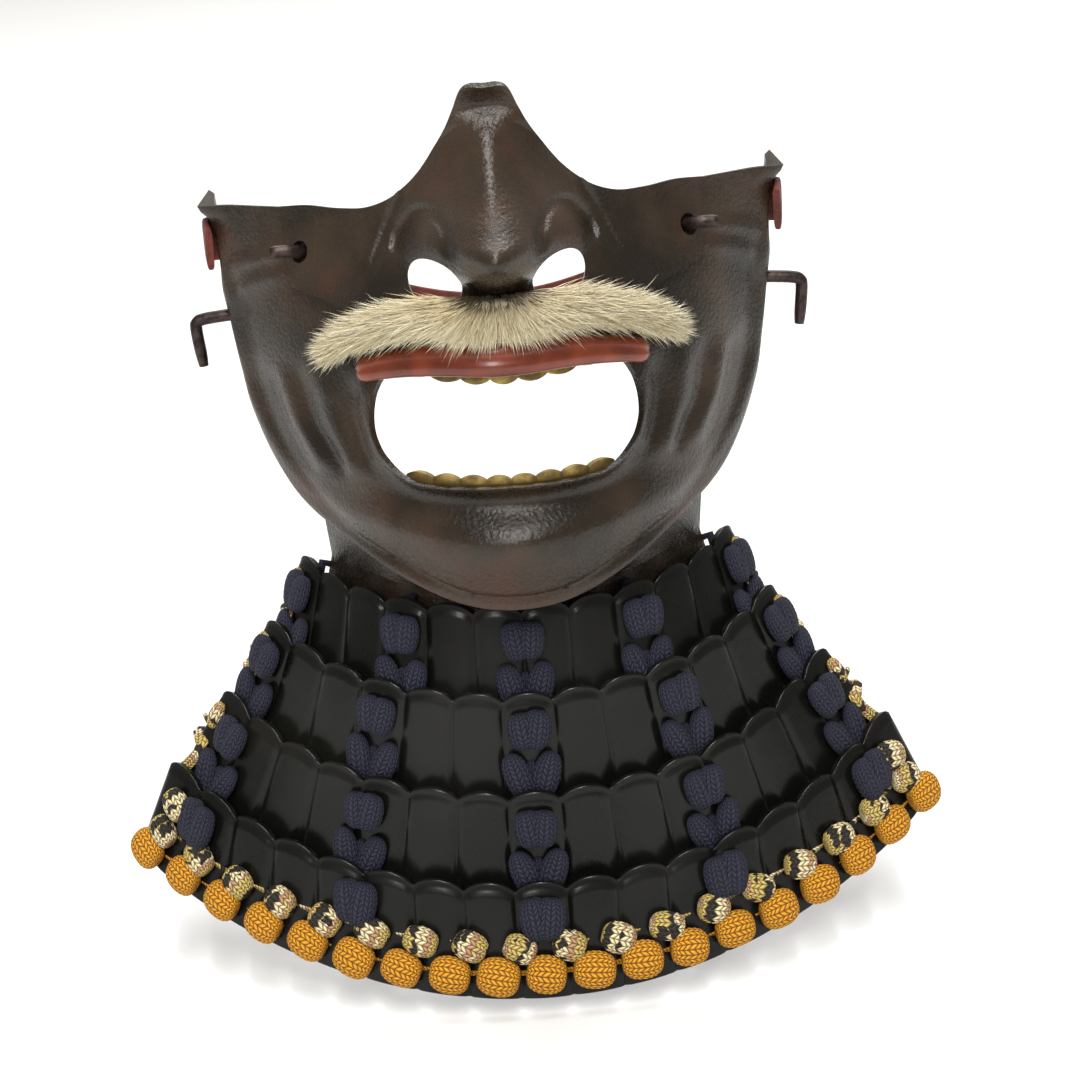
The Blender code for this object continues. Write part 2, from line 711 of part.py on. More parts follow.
def make_neck_plate(place, cutters, finish):
    half = lame_row(0)["scallops"] / 2 * NECK_SPAN
    inward = -(LAME_WALL + CORD_SPACE)
    rows = []
    for i in range(NECK_STEPS + 1):
        share = i / NECK_STEPS
        edge, flange = spoke(SPOKES, share * NECK_LAST_SPOKE)[1:]
        under = face_point(*edge) + Vector((0, flange + 2 * GAP, GAP))
        knee = lame_point(0, share * half, -NECK_KNEE, inward)
        foot = lame_point(0, share * half, NECK_REACH, inward)
        rows.append([under, knee, foot])
    for point in rows[0]:
        point.x = 0
    bm = grid_mesh(rows)
    plate = add_object("neck_plate", bm, finish, place)
    mirror(plate)
    thicken(plate, NECK_WALL)
    holes = bmesh.new()
    for at in column_places(0):
        cut_lace_hole(holes, 0, at, NECK_HOLE_DROP, inward - NECK_WALL / 2)
    cut(plate, add_object("neck_holes", holes, finish, cutters))
    smooth(plate)


def column_places(index):
    found = []
    for at in lame_row(index)["columns"]:
        found += [at, -at] if at else [at]
    return found


def cut_lace_hole(bm, index, at, drop, out):
    along = lame_along(index, at)
    normal = lame_normal(index, at)
    down = normal.cross(along).normalized()
    size = (STEM_WIDTH + 2 * HOLE_CLEAR, STEM + 2 * HOLE_CLEAR, 3 * LAME_WALL)
    box_at(bm, lame_point(index, at, drop, out), along, down, normal, size)


def scallop_stops(count):
    """Places from the middle of a lame to its end, with each scallop's rise there."""
    found = [(0.0, count / 2 % 1)]
    for scallop in range(count):
        for step in range(SCALLOP_STEPS):
            phase = step / SCALLOP_STEPS
            at = scallop + phase - count / 2
            if at > 0.01:
                found.append((at, phase))
    return found + [(count / 2, 0.0)]


def make_lame(index, place, cutters, finish):
    row = lame_row(index)
    rows = []
    for at, phase in scallop_stops(row["scallops"]):
        rise = SCALLOP_RISE * (1 - (2 * phase - 1) ** 2) ** 0.7
        rows.append([lame_point(index, at, -rise), lame_point(index, at, lame_height(index, at))])
    for point in rows[0]:
        point.x = 0
    bm = grid_mesh(rows)
    lame = add_object(f"lame_{index + 1}", bm, finish, place)
    mirror(lame)
    thicken(lame, LAME_WALL)
    holes = bmesh.new()
    drops = HOLE_DROPS if index < len(LAMES) - 1 else HOLE_DROPS[:2]
    for at in column_places(index):
        for drop in drops:
            cut_lace_hole(holes, index, at, drop, -LAME_WALL / 2)
    cut(lame, add_object(f"lame_holes_{index + 1}", holes, finish, cutters))


def lace_offset(side, thick):
    if side > 0:
        return GAP + thick / 2
    if side < 0:
        return -(LAME_WALL + GAP + thick / 2)
    return -(LAME_WALL + CORD_SPACE / 2)


def make_lacing(place, finish):
    for number in range(5):
        places = []
        for index in range(len(LAMES)):
            outer = lame_row(index)["columns"]
            places.append((-outer[2], -outer[1], 0, outer[1], outer[2])[number])
        points = []
        widths = []
        across = []

        def add(index, drop, out, width, thick):
            at = places[index]
            points.append(lame_point(index, at, drop, out))
            widths.append((width, thick))
            across.append(lame_along(index, at))

        behind = -(LAME_WALL + CORD_SPACE + NECK_WALL + GAP + STEM / 2)
        add(0, NECK_HOLE_DROP, behind, STEM_WIDTH, STEM)
        add(0, NECK_HOLE_DROP, lace_offset(0, STEM), STEM_WIDTH, STEM)
        for index in range(len(LAMES)):
            last = index == len(LAMES) - 1
            for row in rows_of(ROUTE_COLUMNS, PAD_ROUTE[:-1] if last else PAD_ROUTE + EAR_ROUTE):
                add(index, row["drop"], lace_offset(row["side"], row["thick"]), row["width"], row["thick"])
        name = f"lacing_column_{number + 1}"
        smooth(add_object(name, ribbon(points, widths, across), finish, place))


def make_edge_lacing(place, finish):
    """A cord down the ends of the upper lames, with two knots on each."""
    for name, side in (("left", -1), ("right", 1)):
        points = []
        widths = []
        across = []

        def add(index, drop, out, size):
            past = (size / 2 + EDGE_GAP) / lame_row(index)["scallop"]
            at = side * (lame_row(index)["scallops"] / 2 + past)
            points.append(lame_point(index, at, drop, out))
            widths.append((size, size))
            across.append(lame_normal(index, at))

        for index in range(len(LAMES) - 1):
            add(index, 0, -(LAME_WALL + EDGE_CORD / 2 + GAP), EDGE_CORD)
            for drop in EDGE_KNOT_DROPS:
                add(index, drop - EDGE_KNOT_HALF, -LAME_WALL / 2, EDGE_CORD)
                add(index, drop - EDGE_KNOT_FULL, -LAME_WALL / 2, EDGE_KNOT)
                add(index, drop + EDGE_KNOT_FULL, -LAME_WALL / 2, EDGE_KNOT)
                add(index, drop + EDGE_KNOT_HALF, -LAME_WALL / 2, EDGE_CORD)
        smooth(add_object(f"edge_lacing_{name}", ribbon(points, widths, across, 4), finish, place))


def make_knot_row(name, row, place, finish):
    last = len(LAMES) - 1
    half = lame_row(last)["scallops"] / 2 * row["span"]
    scallop = lame_row(last)["scallop"]
    points = []
    widths = []
    across = []
    for number in range(row["count"]):
        middle = half * (2 * number / (row["count"] - 1) - 1)
        for shape in rows_of(KNOT_SHAPE_COLUMNS, KNOT_SHAPE):
            at = middle + shape["past"] * row["width"] / scallop
            thick = KNOT_THICK * shape["thick"]
            points.append(lame_point(last, at, row["drop"], GAP + thick / 2))
            widths.append((row["height"] * shape["wide"], thick))
            across.append(lame_down(last, at))
    smooth(add_object(name, ribbon(points, widths, across, 4), finish, place), 60)


def make_strap(place, finish):
    points = []
    widths = []
    across = []
    back = edge_back(STRAP_UP) + STRAP_BEHIND
    wall = flange_out(back, STRAP_UP)

    def add(x, y, z, width=STRAP_WIDTH):
        points.append(Vector((x, y, z)))
        widths.append((width, STRAP_THICK))
        across.append(Vector((0, 0, 1)))

    outside = wall + STRAP_STANDS
    inside = wall - STRAP_INSET
    add(-outside, back - STRAP_END, STRAP_UP, STRAP_WIDTH * STRAP_END_SHARE)
    add(-outside, back, STRAP_UP)
    for i in range(STRAP_STEPS + 1):
        turn = math.pi * i / STRAP_STEPS
        x = -inside * math.cos(turn)
        y = back + STRAP_LOOP_DEPTH * math.sin(turn) ** 0.8
        add(x, y, STRAP_UP - STRAP_SAG * math.sin(turn) ** 1.6)
    add(outside, back, STRAP_UP)
    add(outside, back - STRAP_END, STRAP_UP, STRAP_WIDTH * STRAP_END_SHARE)
    smooth(add_object("head_strap", ribbon(points, widths, across, 4), finish, place))


def main():
    clear_scene()
    place = collection("Samurai face guard")
    cutters = collection("Cutters")
    brown = material("Brown lacquered iron", (0.085, 0.045, 0.035), 0.38, 0.3)
    black = material("Black lacquer", (0.012, 0.013, 0.014), 0.2)
    red = material("Vermilion lacquer", (0.42, 0.075, 0.035), 0.25)
    gold = material("Gilding", (0.42, 0.30, 0.10), 0.4, 0.9)
    iron = material("Dark iron", (0.05, 0.035, 0.032), 0.45, 0.8)
    navy = material("Navy braid", (0.022, 0.026, 0.065), 0.85)
    orange = material("Orange braid", (0.70, 0.32, 0.05), 0.8)
    mixed = material("Multicolour braid", (0.55, 0.40, 0.20), 0.8)
    hair = material("Pale hair", (0.62, 0.55, 0.42), 0.7)
    leather = material("Red leather", (0.33, 0.07, 0.045), 0.6)
    make_mask_shell(place, cutters, brown)
    make_nose_plate(place, cutters, brown)
    make_hooks(place, iron)
    make_upper_lip(place, red)
    make_teeth("upper_teeth", UPPER_TEETH_HALF_WIDTH, mouth_top(), -1, place, gold)
    make_teeth("lower_teeth", LOWER_TEETH_HALF_WIDTH, mouth_low(), 1, place, gold)
    make_moustache(place, hair)
    make_neck_plate(place, cutters, brown)
    for index in range(len(LAMES)):
        make_lame(index, place, cutters, black)
    make_lacing(place, navy)
    make_edge_lacing(place, mixed)
    for name, row in KNOT_ROWS.items():
        finish = orange if name == "orange_knots" else mixed
        make_knot_row(name, dict(zip(KNOT_COLUMNS, row)), place, finish)
    make_strap(place, leather)


main()
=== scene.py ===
# Samurai face guard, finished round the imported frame. Metres, +Z up, the face looks along -Y.
import math
import random

import bmesh
import bpy
import numpy as np
from mathutils import Matrix, Vector


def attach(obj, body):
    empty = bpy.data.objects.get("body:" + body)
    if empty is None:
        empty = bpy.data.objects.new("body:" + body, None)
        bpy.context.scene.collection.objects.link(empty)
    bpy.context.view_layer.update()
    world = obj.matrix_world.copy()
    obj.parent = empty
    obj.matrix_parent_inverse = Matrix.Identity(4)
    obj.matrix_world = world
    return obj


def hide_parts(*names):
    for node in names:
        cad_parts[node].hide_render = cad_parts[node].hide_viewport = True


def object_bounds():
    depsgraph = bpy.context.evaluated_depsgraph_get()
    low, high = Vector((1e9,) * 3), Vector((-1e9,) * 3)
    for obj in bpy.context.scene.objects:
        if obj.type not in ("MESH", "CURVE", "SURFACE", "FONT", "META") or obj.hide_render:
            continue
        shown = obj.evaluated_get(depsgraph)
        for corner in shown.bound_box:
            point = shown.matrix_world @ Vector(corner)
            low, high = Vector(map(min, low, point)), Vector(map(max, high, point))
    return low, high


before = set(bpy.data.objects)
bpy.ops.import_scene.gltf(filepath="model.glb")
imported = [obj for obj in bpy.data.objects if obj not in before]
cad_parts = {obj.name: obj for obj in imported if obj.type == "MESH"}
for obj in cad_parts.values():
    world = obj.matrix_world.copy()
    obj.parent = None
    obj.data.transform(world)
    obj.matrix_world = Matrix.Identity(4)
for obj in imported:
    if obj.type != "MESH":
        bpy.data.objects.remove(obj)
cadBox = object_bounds()
print("frame loaded:", len(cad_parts), "nodes")

view = {
    "target": (0, 0.040, -0.012),
    "distance": 0.700,
    "elevation": 20,
    "roll": 4.1,  # the face guard leans to the left in the picture
    "lens": 82.5,
    "targetPixel": (515.8, 541.7),  # where the target shows, in a picture of 1080 by 1080
    "picture": 1080,
}


def addCamera():
    up = math.radians(view["elevation"])
    roll = math.radians(view["roll"])
    back = Vector((0, -math.cos(up), math.sin(up)))
    right = Vector((1, 0, 0))
    above = back.cross(right)
    side = right * math.cos(roll) - above * math.sin(roll)
    top = right * math.sin(roll) + above * math.cos(roll)
    camera = bpy.data.cameras.new("camera")
    camera.lens = view["lens"]
    camera.shift_x = 0.5 - view["targetPixel"][0] / view["picture"]
    camera.shift_y = view["targetPixel"][1] / view["picture"] - 0.5
    eye = bpy.data.objects.new("camera", camera)
    eye.matrix_world = Matrix((side, top, back)).transposed().to_4x4()
    eye.matrix_world.translation = Vector(view["target"]) + back * view["distance"]
    bpy.context.scene.collection.objects.link(eye)
    bpy.context.scene.camera = eye


addCamera()

room = {
    "floorDrop": 0.004,  # below the lowest knot
    "floorSize": 6.0,
    "worldLight": 0.34,
    "lights": (  # name, place, watts, width, height
        ("keyLight", (0.03, -0.75, 1.84), 46, 0.11, 2.20),
        ("frontLight", (-0.50, -2.10, 1.10), 14, 0.50, 0.50),
        ("backLight", (0.20, 2.10, 2.30), 62, 2.40, 1.20),
    ),
}


def addRoom():
    bm = bmesh.new()
    bmesh.ops.create_grid(bm, x_segments=1, y_segments=1, size=room["floorSize"] / 2)
    level = cadBox[0][2] - room["floorDrop"]
    bmesh.ops.translate(bm, vec=(0, 0, level), verts=bm.verts)
    mesh = bpy.data.meshes.new("floor")
    bm.to_mesh(mesh)
    floor = bpy.data.objects.new("floor", mesh)
    pale = bpy.data.materials.new("paleFloor")
    pale.use_nodes = True
    pale.node_tree.nodes["Principled BSDF"].inputs["Base Color"].default_value = (0.86, 0.86, 0.85, 1)
    pale.node_tree.nodes["Principled BSDF"].inputs["Roughness"].default_value = 0.7
    mesh.materials.append(pale)
    bpy.context.scene.collection.objects.link(floor)
    world = bpy.data.worlds.new("studio")
    world.use_nodes = True
    world.node_tree.nodes["Background"].inputs["Color"].default_value = (1, 0.975, 0.93, 1)
    world.node_tree.nodes["Background"].inputs["Strength"].default_value = room["worldLight"]
    bpy.context.scene.world = world
    for name, place, power, width, height in room["lights"]:
        light = bpy.data.lights.new(name, "AREA")
        light.shape = "RECTANGLE"
        light.energy = power
        light.size = width
        light.size_y = height
        lamp = bpy.data.objects.new(name, light)
        lamp.location = place
        aim = Vector(view["target"]) - Vector(place)
        lamp.rotation_euler = aim.to_track_quat("-Z", "Y").to_euler()
        bpy.context.scene.collection.objects.link(lamp)


addRoom()
bpy.context.scene.view_settings.view_transform = "Standard"
print("camera and room set")


class Wire:  # a socket of a shader, with arithmetic
    def __init__(self, tree, socket=None):
        self.tree = tree
        self.socket = socket

    def node(self, kind, settings=None, inputs=None, output=0):
        made = self.tree.nodes.new(kind)
        for name, value in (settings or {}).items():
            if name == "stops":
                self.setStops(made.color_ramp, value)
            else:
                setattr(made, name, value)
        for name, value in (inputs or {}).items():
            if isinstance(value, Wire):
                self.tree.links.new(value.socket, made.inputs[name])
            else:
                made.inputs[name].default_value = value
        return Wire(self.tree, made.outputs[output])

    def setStops(self, ramp, stops):
        while len(ramp.elements) < len(stops):
            ramp.elements.new(1)
        for element, (place, color) in zip(ramp.elements, stops):
            element.position = place
            element.color = color if len(color) == 4 else (*color, 1)

    def maths(self, operation, first, second=0.0):
        return self.node("ShaderNodeMath", {"operation": operation}, {0: first, 1: second})

    def __add__(self, other):
        return self.maths("ADD", self, other)

    __radd__ = __add__

    def __sub__(self, other):
        return self.maths("SUBTRACT", self, other)

    def __rsub__(self, other):
        return self.maths("SUBTRACT", other, self)

    def __mul__(self, other):
        return self.maths("MULTIPLY", self, other)

    def __truediv__(self, other):
        return self.maths("DIVIDE", self, other)

    def __pow__(self, other):
        return self.maths("POWER", self, other)

    def step(self, low, high):  # smooth rise from 0 to 1 between two values
        inputs = {"Value": self, "From Min": low, "From Max": high}
        return self.node("ShaderNodeMapRange", {"interpolation_type": "SMOOTHSTEP"}, inputs)

    def mix(self, first, second):  # of two colours, by this mask
        inputs = {0: self, 6: colour(first), 7: colour(second)}
        return self.node("ShaderNodeMix", {"data_type": "RGBA"}, inputs, 2)

    def noise(self, scale, detail=3.0, rough=0.5):  # this wire is the coordinate
        inputs = {"Vector": self, "Scale": scale, "Detail": detail, "Roughness": rough}
        return self.node("ShaderNodeTexNoise", None, inputs)

    def cells(self, scale):
        return self.node("ShaderNodeTexVoronoi", None, {"Vector": self, "Scale": scale})

    def part(self, axis):
        return self.node("ShaderNodeSeparateXYZ", None, {0: self}, "XYZ".index(axis))

    def bump(self, distance, strength):
        return self.node("ShaderNodeBump", None, {"Height": self, "Distance": distance, "Strength": strength})


def colour(value):
    return value if isinstance(value, Wire) else (*value[:3], 1)


def makeFinish(name, build, fixed):  # build returns the inputs that vary, fixed holds those that don't
    made = bpy.data.materials.new(name)
    made.use_nodes = True
    tree = made.node_tree
    shader = tree.nodes["Principled BSDF"]
    for key, value in fixed.items():
        shader.inputs[key].default_value = value
    start = Wire(tree)
    for key, value in build(start).items():
        tree.links.new(value.socket, shader.inputs[key])
    return made


def objectPlace(start):
    return start.node("ShaderNodeTexCoord", None, None, 3)


def uvPlace(start):
    return start.node("ShaderNodeUVMap", {"uv_map": "surface"})


brownIron = {
    "dark": (0.013, 0.0088, 0.0050),
    "light": (0.047, 0.0300, 0.0180),
    "red": (0.054, 0.026, 0.0155),
    "pit": 1300,
    "patch": 38,
}


def brownLacquer(start):
    place = objectPlace(start)
    patch = place.noise(brownIron["patch"], 4)
    fine = place.noise(brownIron["pit"], 4, 0.65)
    grains = place.cells(brownIron["pit"] * 0.6)
    rusty = (place.noise(brownIron["patch"] * 2.3, 3) * 0.6 + patch * 0.4).step(0.50, 0.66)
    color = patch.step(0.32, 0.68).mix(brownIron["dark"], rusty.mix(brownIron["light"], brownIron["red"]))
    rough = 0.17 + fine * 0.15 + patch * 0.07
    pits = (fine * 0.7 + grains * 0.5).bump(0.00030, 0.65)
    return {"Base Color": color, "Roughness": rough, "Normal": pits}


blackCoat = {"black": (0.0040, 0.0040, 0.0034), "worn": (0.0095, 0.0092, 0.0074)}


def blackLacquer(start):
    place = objectPlace(start)
    cloud = place.noise(28, 4)
    dust = place.noise(900, 3, 0.6)
    color = cloud.step(0.40, 0.75).mix(blackCoat["black"], blackCoat["worn"])
    rough = 0.19 + cloud * 0.14 + dust * 0.05
    ripple = (place.noise(160, 2) + dust * 0.12).bump(0.00020, 0.35)
    return {"Base Color": color, "Roughness": rough, "Normal": ripple}


lipCoat = {"dark": (0.125, 0.018, 0.005), "light": (0.225, 0.037, 0.010), "patch": 110}


def vermilion(start):
    place = objectPlace(start)
    cloud = place.noise(lipCoat["patch"], 4)
    color = cloud.step(0.35, 0.7).mix(lipCoat["dark"], lipCoat["light"])
    rough = 0.22 + cloud * 0.16
    return {"Base Color": color, "Roughness": rough, "Normal": place.noise(500, 3).bump(0.00012, 0.4)}


gilt = {"dull": (0.13, 0.085, 0.025), "bright": (0.44, 0.31, 0.10), "patch": 260}


def gilding(start):
    place = objectPlace(start)
    cloud = place.noise(gilt["patch"], 5, 0.6)
    color = cloud.step(0.35, 0.68).mix(gilt["dull"], gilt["bright"])
    metal = cloud.step(0.30, 0.55) * 0.8
    rough = 0.62 - cloud * 0.3
    return {"Base Color": color, "Roughness": rough, "Metallic": metal, "Normal": cloud.bump(0.00025, 0.5)}


bareIron = {"dark": (0.020, 0.014, 0.013), "light": (0.075, 0.052, 0.045), "patch": 420}


def darkIron(start):
    place = objectPlace(start)
    cloud = place.noise(bareIron["patch"], 5, 0.65)
    color = cloud.step(0.35, 0.7).mix(bareIron["dark"], bareIron["light"])
    rough = 0.30 + cloud * 0.22
    return {"Base Color": color, "Roughness": rough, "Normal": cloud.bump(0.00030, 0.6)}


leather = {
    "dark": (0.075, 0.012, 0.007), "light": (0.19, 0.031, 0.016), "patch": 120, "grain": 1100, "crease": 420,
}


def redLeather(start):
    place = objectPlace(start)
    cloud = place.noise(leather["patch"], 5, 0.6)
    grain = place.cells(leather["grain"])
    creases = place.noise(leather["crease"], 4, 0.7)
    color = cloud.step(0.33, 0.7).mix(leather["dark"], leather["light"])
    rough = 0.48 + creases * 0.25
    return {"Base Color": color, "Roughness": rough, "Normal": (grain * 0.6 + creases).bump(0.00035, 0.6)}


plait = {  # in millimetres
    "column": 1.10,
    "stroke": 0.98,
    "lean": 0.85,
    "depth": 0.10,  # of the modelled strands
    # navy and orange: first the painted shade in the grooves between strands, then the cord's own colour on
    # the strand crowns
    "navy": ((0.0040, 0.0042, 0.0085), (0.026, 0.0265, 0.050)),
    "orange": ((0.15, 0.045, 0.004), (0.78, 0.36, 0.028)),
    # painted shade in the grooves between the strands
    "groove": (0.05, 0.035, 0.02),
    "mixed": ((0.62, 0.46, 0.13), (0.008, 0.007, 0.008), (0.84, 0.70, 0.40), (0.52, 0.27, 0.15)),
}


def plaitWires(start):  # height and number of the strands, from the UV map, which holds millimetres
    uv = uvPlace(start)
    along = uv.part("X")
    across = uv.part("Y") / plait["column"]
    column = start.maths("FLOOR", across)
    inColumn = across - column
    side = start.maths("MODULO", start.maths("ABSOLUTE", column), 2) * 2 - 1
    phase = along / plait["stroke"] + side * (inColumn - 0.5) * plait["lean"]
    stroke = start.maths("FLOOR", phase)
    inStroke = phase - stroke
    ridge = 1 - start.maths("ABSOLUTE", inStroke * 2 - 1) ** 2.2
    crown = 1 - start.maths("ABSOLUTE", inColumn * 2 - 1) ** 3
    return ridge * crown, stroke, uv


def braid(low, high):
    def build(start):
        height, _, uv = plaitWires(start)
        place = objectPlace(start)
        fibre = uv.noise(6.0, 3, 0.6)
        shade = place.noise(700, 2)
        # painted shade: the strand height darkens the grooves between strands, and the fibre noise is the
        # cord's own tone
        light = (height * 0.75 + fibre * 0.35).step(0.12, 0.95)
        color = light.mix(low, high)
        rough = 0.78 - shade * 0.18
        return {"Base Color": color, "Roughness": rough, "Normal": (height + fibre * 0.25).bump(0.00045, 0.8)}
    return build


def mixedBraid(start):
    height, stroke, uv = plaitWires(start)
    place = objectPlace(start)
    order = start.maths("MODULO", stroke + 40, 8) / 8 + 0.0625
    patch = place.noise(170, 1)
    pick = start.maths("FRACT", order + start.maths("ROUND", patch * 3.2) * 0.25)
    stops = list(zip((0.0, 0.40, 0.62, 0.86), plait["mixed"]))
    strands = start.node("ShaderNodeValToRGB", {"stops": stops}, {0: pick})
    strands.socket.node.color_ramp.interpolation = "CONSTANT"
    # painted shade from the strand height: the grooves take the dark groove colour, and the fibre noise is
    # the cord's own tone
    light = (height * 0.8 + uv.noise(6.0, 3) * 0.3).step(0.05, 0.85)
    color = light.mix(plait["groove"], strands)
    rough = 0.70 - patch * 0.15
    return {"Base Color": color, "Roughness": rough, "Normal": height.bump(0.00045, 0.8)}


hairTint = {
    "tips": ((0.64, 0.52, 0.29), (0.93, 0.86, 0.64)),
    # the root colours are painted shade deep inside the tuft
    "roots": ((0.085, 0.060, 0.032), (0.30, 0.22, 0.11)),
}


def paleHair(start):  # the UV map holds the share along a strand, and how fair the strand is; under the nose both also carry painted shadow
    strand = uvPlace(start)
    tip = strand.part("X")
    kind = strand.part("Y")
    fair = kind.step(0.05, 0.95).mix(*hairTint["tips"])
    root = kind.step(0.0, 1.0).mix(*hairTint["roots"])
    # painted shade: each strand darkens towards its root
    color = tip.step(0.0, 0.30).mix(root, fair)
    rough = 0.42 + kind * 0.16
    return {"Base Color": color, "Roughness": rough}


finishes = {}
for name, build, fixed in (
    ("brownLacquer", brownLacquer, {"Metallic": 0.10, "Specular IOR Level": 0.42}),
    ("blackLacquer", blackLacquer, {"Specular IOR Level": 0.22, "Coat Weight": 0.06, "Coat Roughness": 0.08}),
    ("vermilion", vermilion, {"Coat Weight": 0.20, "Coat Roughness": 0.12}),
    ("gilding", gilding, {}),
    ("darkIron", darkIron, {"Metallic": 0.75}),
    ("navyBraid", braid(*plait["navy"]), {"Specular IOR Level": 0.3}),
    ("orangeBraid", braid(*plait["orange"]), {"Specular IOR Level": 0.2}),
    ("mixedBraid", mixedBraid, {"Specular IOR Level": 0.3}),
    ("paleHair", paleHair, {"Sheen Weight": 0.1}),
    ("redLeather", redLeather, {}),
):
    finishes[name] = makeFinish(name, build, fixed)
print("finishes made:", len(finishes))


def through(stops, values, at):  # the cubic through values at rising stops, straight beyond its ends
    stops = np.asarray(stops, float)
    at = np.asarray(at, float)
    values = np.asarray(values, float)
    if values.ndim == 1:
        values = np.repeat(values[:, None], at.size, axis=1)
    last = len(stops) - 1
    low = np.maximum(np.arange(last + 1) - 1, 0)
    high = np.minimum(np.arange(last + 1) + 1, last)
    slopes = (values[high] - values[low]) / (stops[high] - stops[low])[:, None]
    i = np.clip(np.searchsorted(stops, at, side="right") - 1, 0, last - 1)
    here = np.arange(at.size)
    span = stops[i + 1] - stops[i]
    t = np.clip((at - stops[i]) / span, 0, 1)
    found = values[i, here] + (values[i + 1, here] - values[i, here]) * t * t * (3 - 2 * t)
    found += t * (1 - t) ** 2 * slopes[i, here] * span - t * t * (1 - t) * slopes[i + 1, here] * span
    found += slopes[0] * np.minimum(at - stops[0], 0) + slopes[last] * np.maximum(at - stops[last], 0)
    return found


face = {
    "halfWidth": 0.080,
    "depth": 0.084,
    "height": 0.104,
    "rimDrop": 0.020,
    "wall": 0.0020,
    "wingFlange": 0.022,
    "flare": 0.10,
    "stations": (-0.25, 0.0, 0.25, 0.5, 0.75, 1.0),
    "levels": (  # level, then how far back it is at the middle, mouth, cheek, side and wing
        (0.000, 0.107, 0.214, 0.524, 0.929, 1.333),
        (0.077, 0.048, 0.131, 0.393, 0.786, 1.214),
        (0.212, 0.000, 0.083, 0.298, 0.643, 1.119),
        (0.298, 0.077, 0.137, 0.315, 0.613, 1.083),
        (0.356, 0.060, 0.131, 0.321, 0.607, 1.060),
        (0.481, 0.083, 0.155, 0.345, 0.619, 1.036),
        (0.635, 0.107, 0.190, 0.381, 0.655, 1.012),
        (0.798, 0.167, 0.274, 0.476, 0.714, 1.000),
        (1.000, 0.333, 0.429, 0.595, 0.786, 1.000),
        (1.337, 0.333, 0.452, 0.643, 0.833, 1.048),
    ),
    "spokes": (  # from the chin to the wing: mouth out and level, edge out and level, flange
        (0.000, 0.356, 0.000, 0.019, 0.14),
        (0.113, 0.354, 0.163, 0.029, 0.16),
        (0.225, 0.351, 0.325, 0.067, 0.23),
        (0.313, 0.354, 0.488, 0.115, 0.36),
        (0.375, 0.375, 0.638, 0.168, 0.45),
        (0.419, 0.413, 0.763, 0.240, 0.55),
        (0.441, 0.452, 0.856, 0.346, 0.59),
        (0.450, 0.490, 0.919, 0.481, 0.64),
        (0.450, 0.529, 0.956, 0.635, 0.68),
        (0.440, 0.567, 0.981, 0.798, 0.77),
        (0.425, 0.596, 1.006, 0.976, 1.00),
    ),
    "topSpokes": (  # from the wing along the cheek and round the opening for the nose
        (0.425, 0.596, 1.006, 0.976, 0.0),
        (0.403, 0.620, 0.875, 0.986, 0.0),
        (0.369, 0.638, 0.738, 0.995, 0.0),
        (0.325, 0.644, 0.606, 0.998, 0.0),
        (0.269, 0.647, 0.500, 0.942, 0.0),
        (0.213, 0.648, 0.413, 0.846, 0.0),
        (0.150, 0.649, 0.300, 0.784, 0.0),
        (0.075, 0.649, 0.150, 0.764, 0.0),
        (0.000, 0.649, 0.000, 0.760, 0.0),
    ),
    "probe": 0.0005,
    "spokeParts": 11,
    "rings": 56,
    "flangeRings": 6,
    "rounding": 0.00045,
}


def faceBack(x, z):
    level = (z + face["rimDrop"]) / face["height"]
    rows = np.array(face["levels"])
    depths = [through(rows[:, 0], rows[:, column], level) for column in range(1, 6)]
    depths.insert(0, depths[1])
    back = through(face["stations"], np.array(depths), np.abs(x) / face["halfWidth"])
    return back * face["depth"] - face["wall"]


def faceNormal(x, z):
    probe = face["probe"]
    slopeX = (faceBack(x + probe, z) - faceBack(x - probe, z)) / (2 * probe)
    slopeZ = (faceBack(x, z + probe) - faceBack(x, z - probe)) / (2 * probe)
    normal = np.stack([slopeX, -np.ones_like(slopeX), slopeZ], axis=1)
    return normal / np.linalg.norm(normal, axis=1)[:, None]


def facePoint(x, z, out=0.0):
    x = np.atleast_1d(np.asarray(x, float))
    z = np.atleast_1d(np.asarray(z, float))
    return np.stack([x, faceBack(x, z), z], axis=1) + faceNormal(x, z) * np.reshape(out, (-1, 1))


def spokeEnds(u, top=False):  # u in spokes of the jaw's table, or of the top's
    rows = np.array(face["topSpokes" if top else "spokes"])
    mirrored = rows[-2 if top else 1] * (-1, 1, -1, 1, 1)
    rows = np.vstack([rows, mirrored] if top else [mirrored, rows])
    stops = np.arange(len(rows)) - (0 if top else 1)
    found = [through(stops, rows[:, k], u) for k in range(5)]
    wide, high = face["halfWidth"], face["height"]
    mouth = (found[0] * wide, found[1] * high - face["rimDrop"])
    edge = (found[2] * wide, found[3] * high - face["rimDrop"])
    return mouth, edge, found[4] * face["wingFlange"]


def stepBetween(value, low, high):
    t = np.clip((value - low) / (high - low), 0, 1)
    return t * t * (3 - 2 * t)


def bell(distance, width):
    return np.exp(-(distance / width) ** 2)


def nearLine(x, z, line, parts=90):  # distance to a smooth line through a few points, and the share along it
    line = np.array(line, float)
    stops = np.linspace(0, 1, len(line))
    dense = np.linspace(0, 1, parts)
    lineX = through(stops, line[:, 0], dense)
    lineZ = through(stops, line[:, 1], dense)
    apart = np.hypot(x[:, None] - lineX[None, :], z[:, None] - lineZ[None, :])
    nearest = apart.argmin(axis=1)
    return apart[np.arange(x.size), nearest], dense[nearest]


def ridgeOn(x, z, line, width, height, fade):
    apart, share = nearLine(np.abs(x), z, line)
    ends = stepBetween(share, 0, fade) * stepBetween(1 - share, 0, fade)
    return height * bell(apart, width) * ends


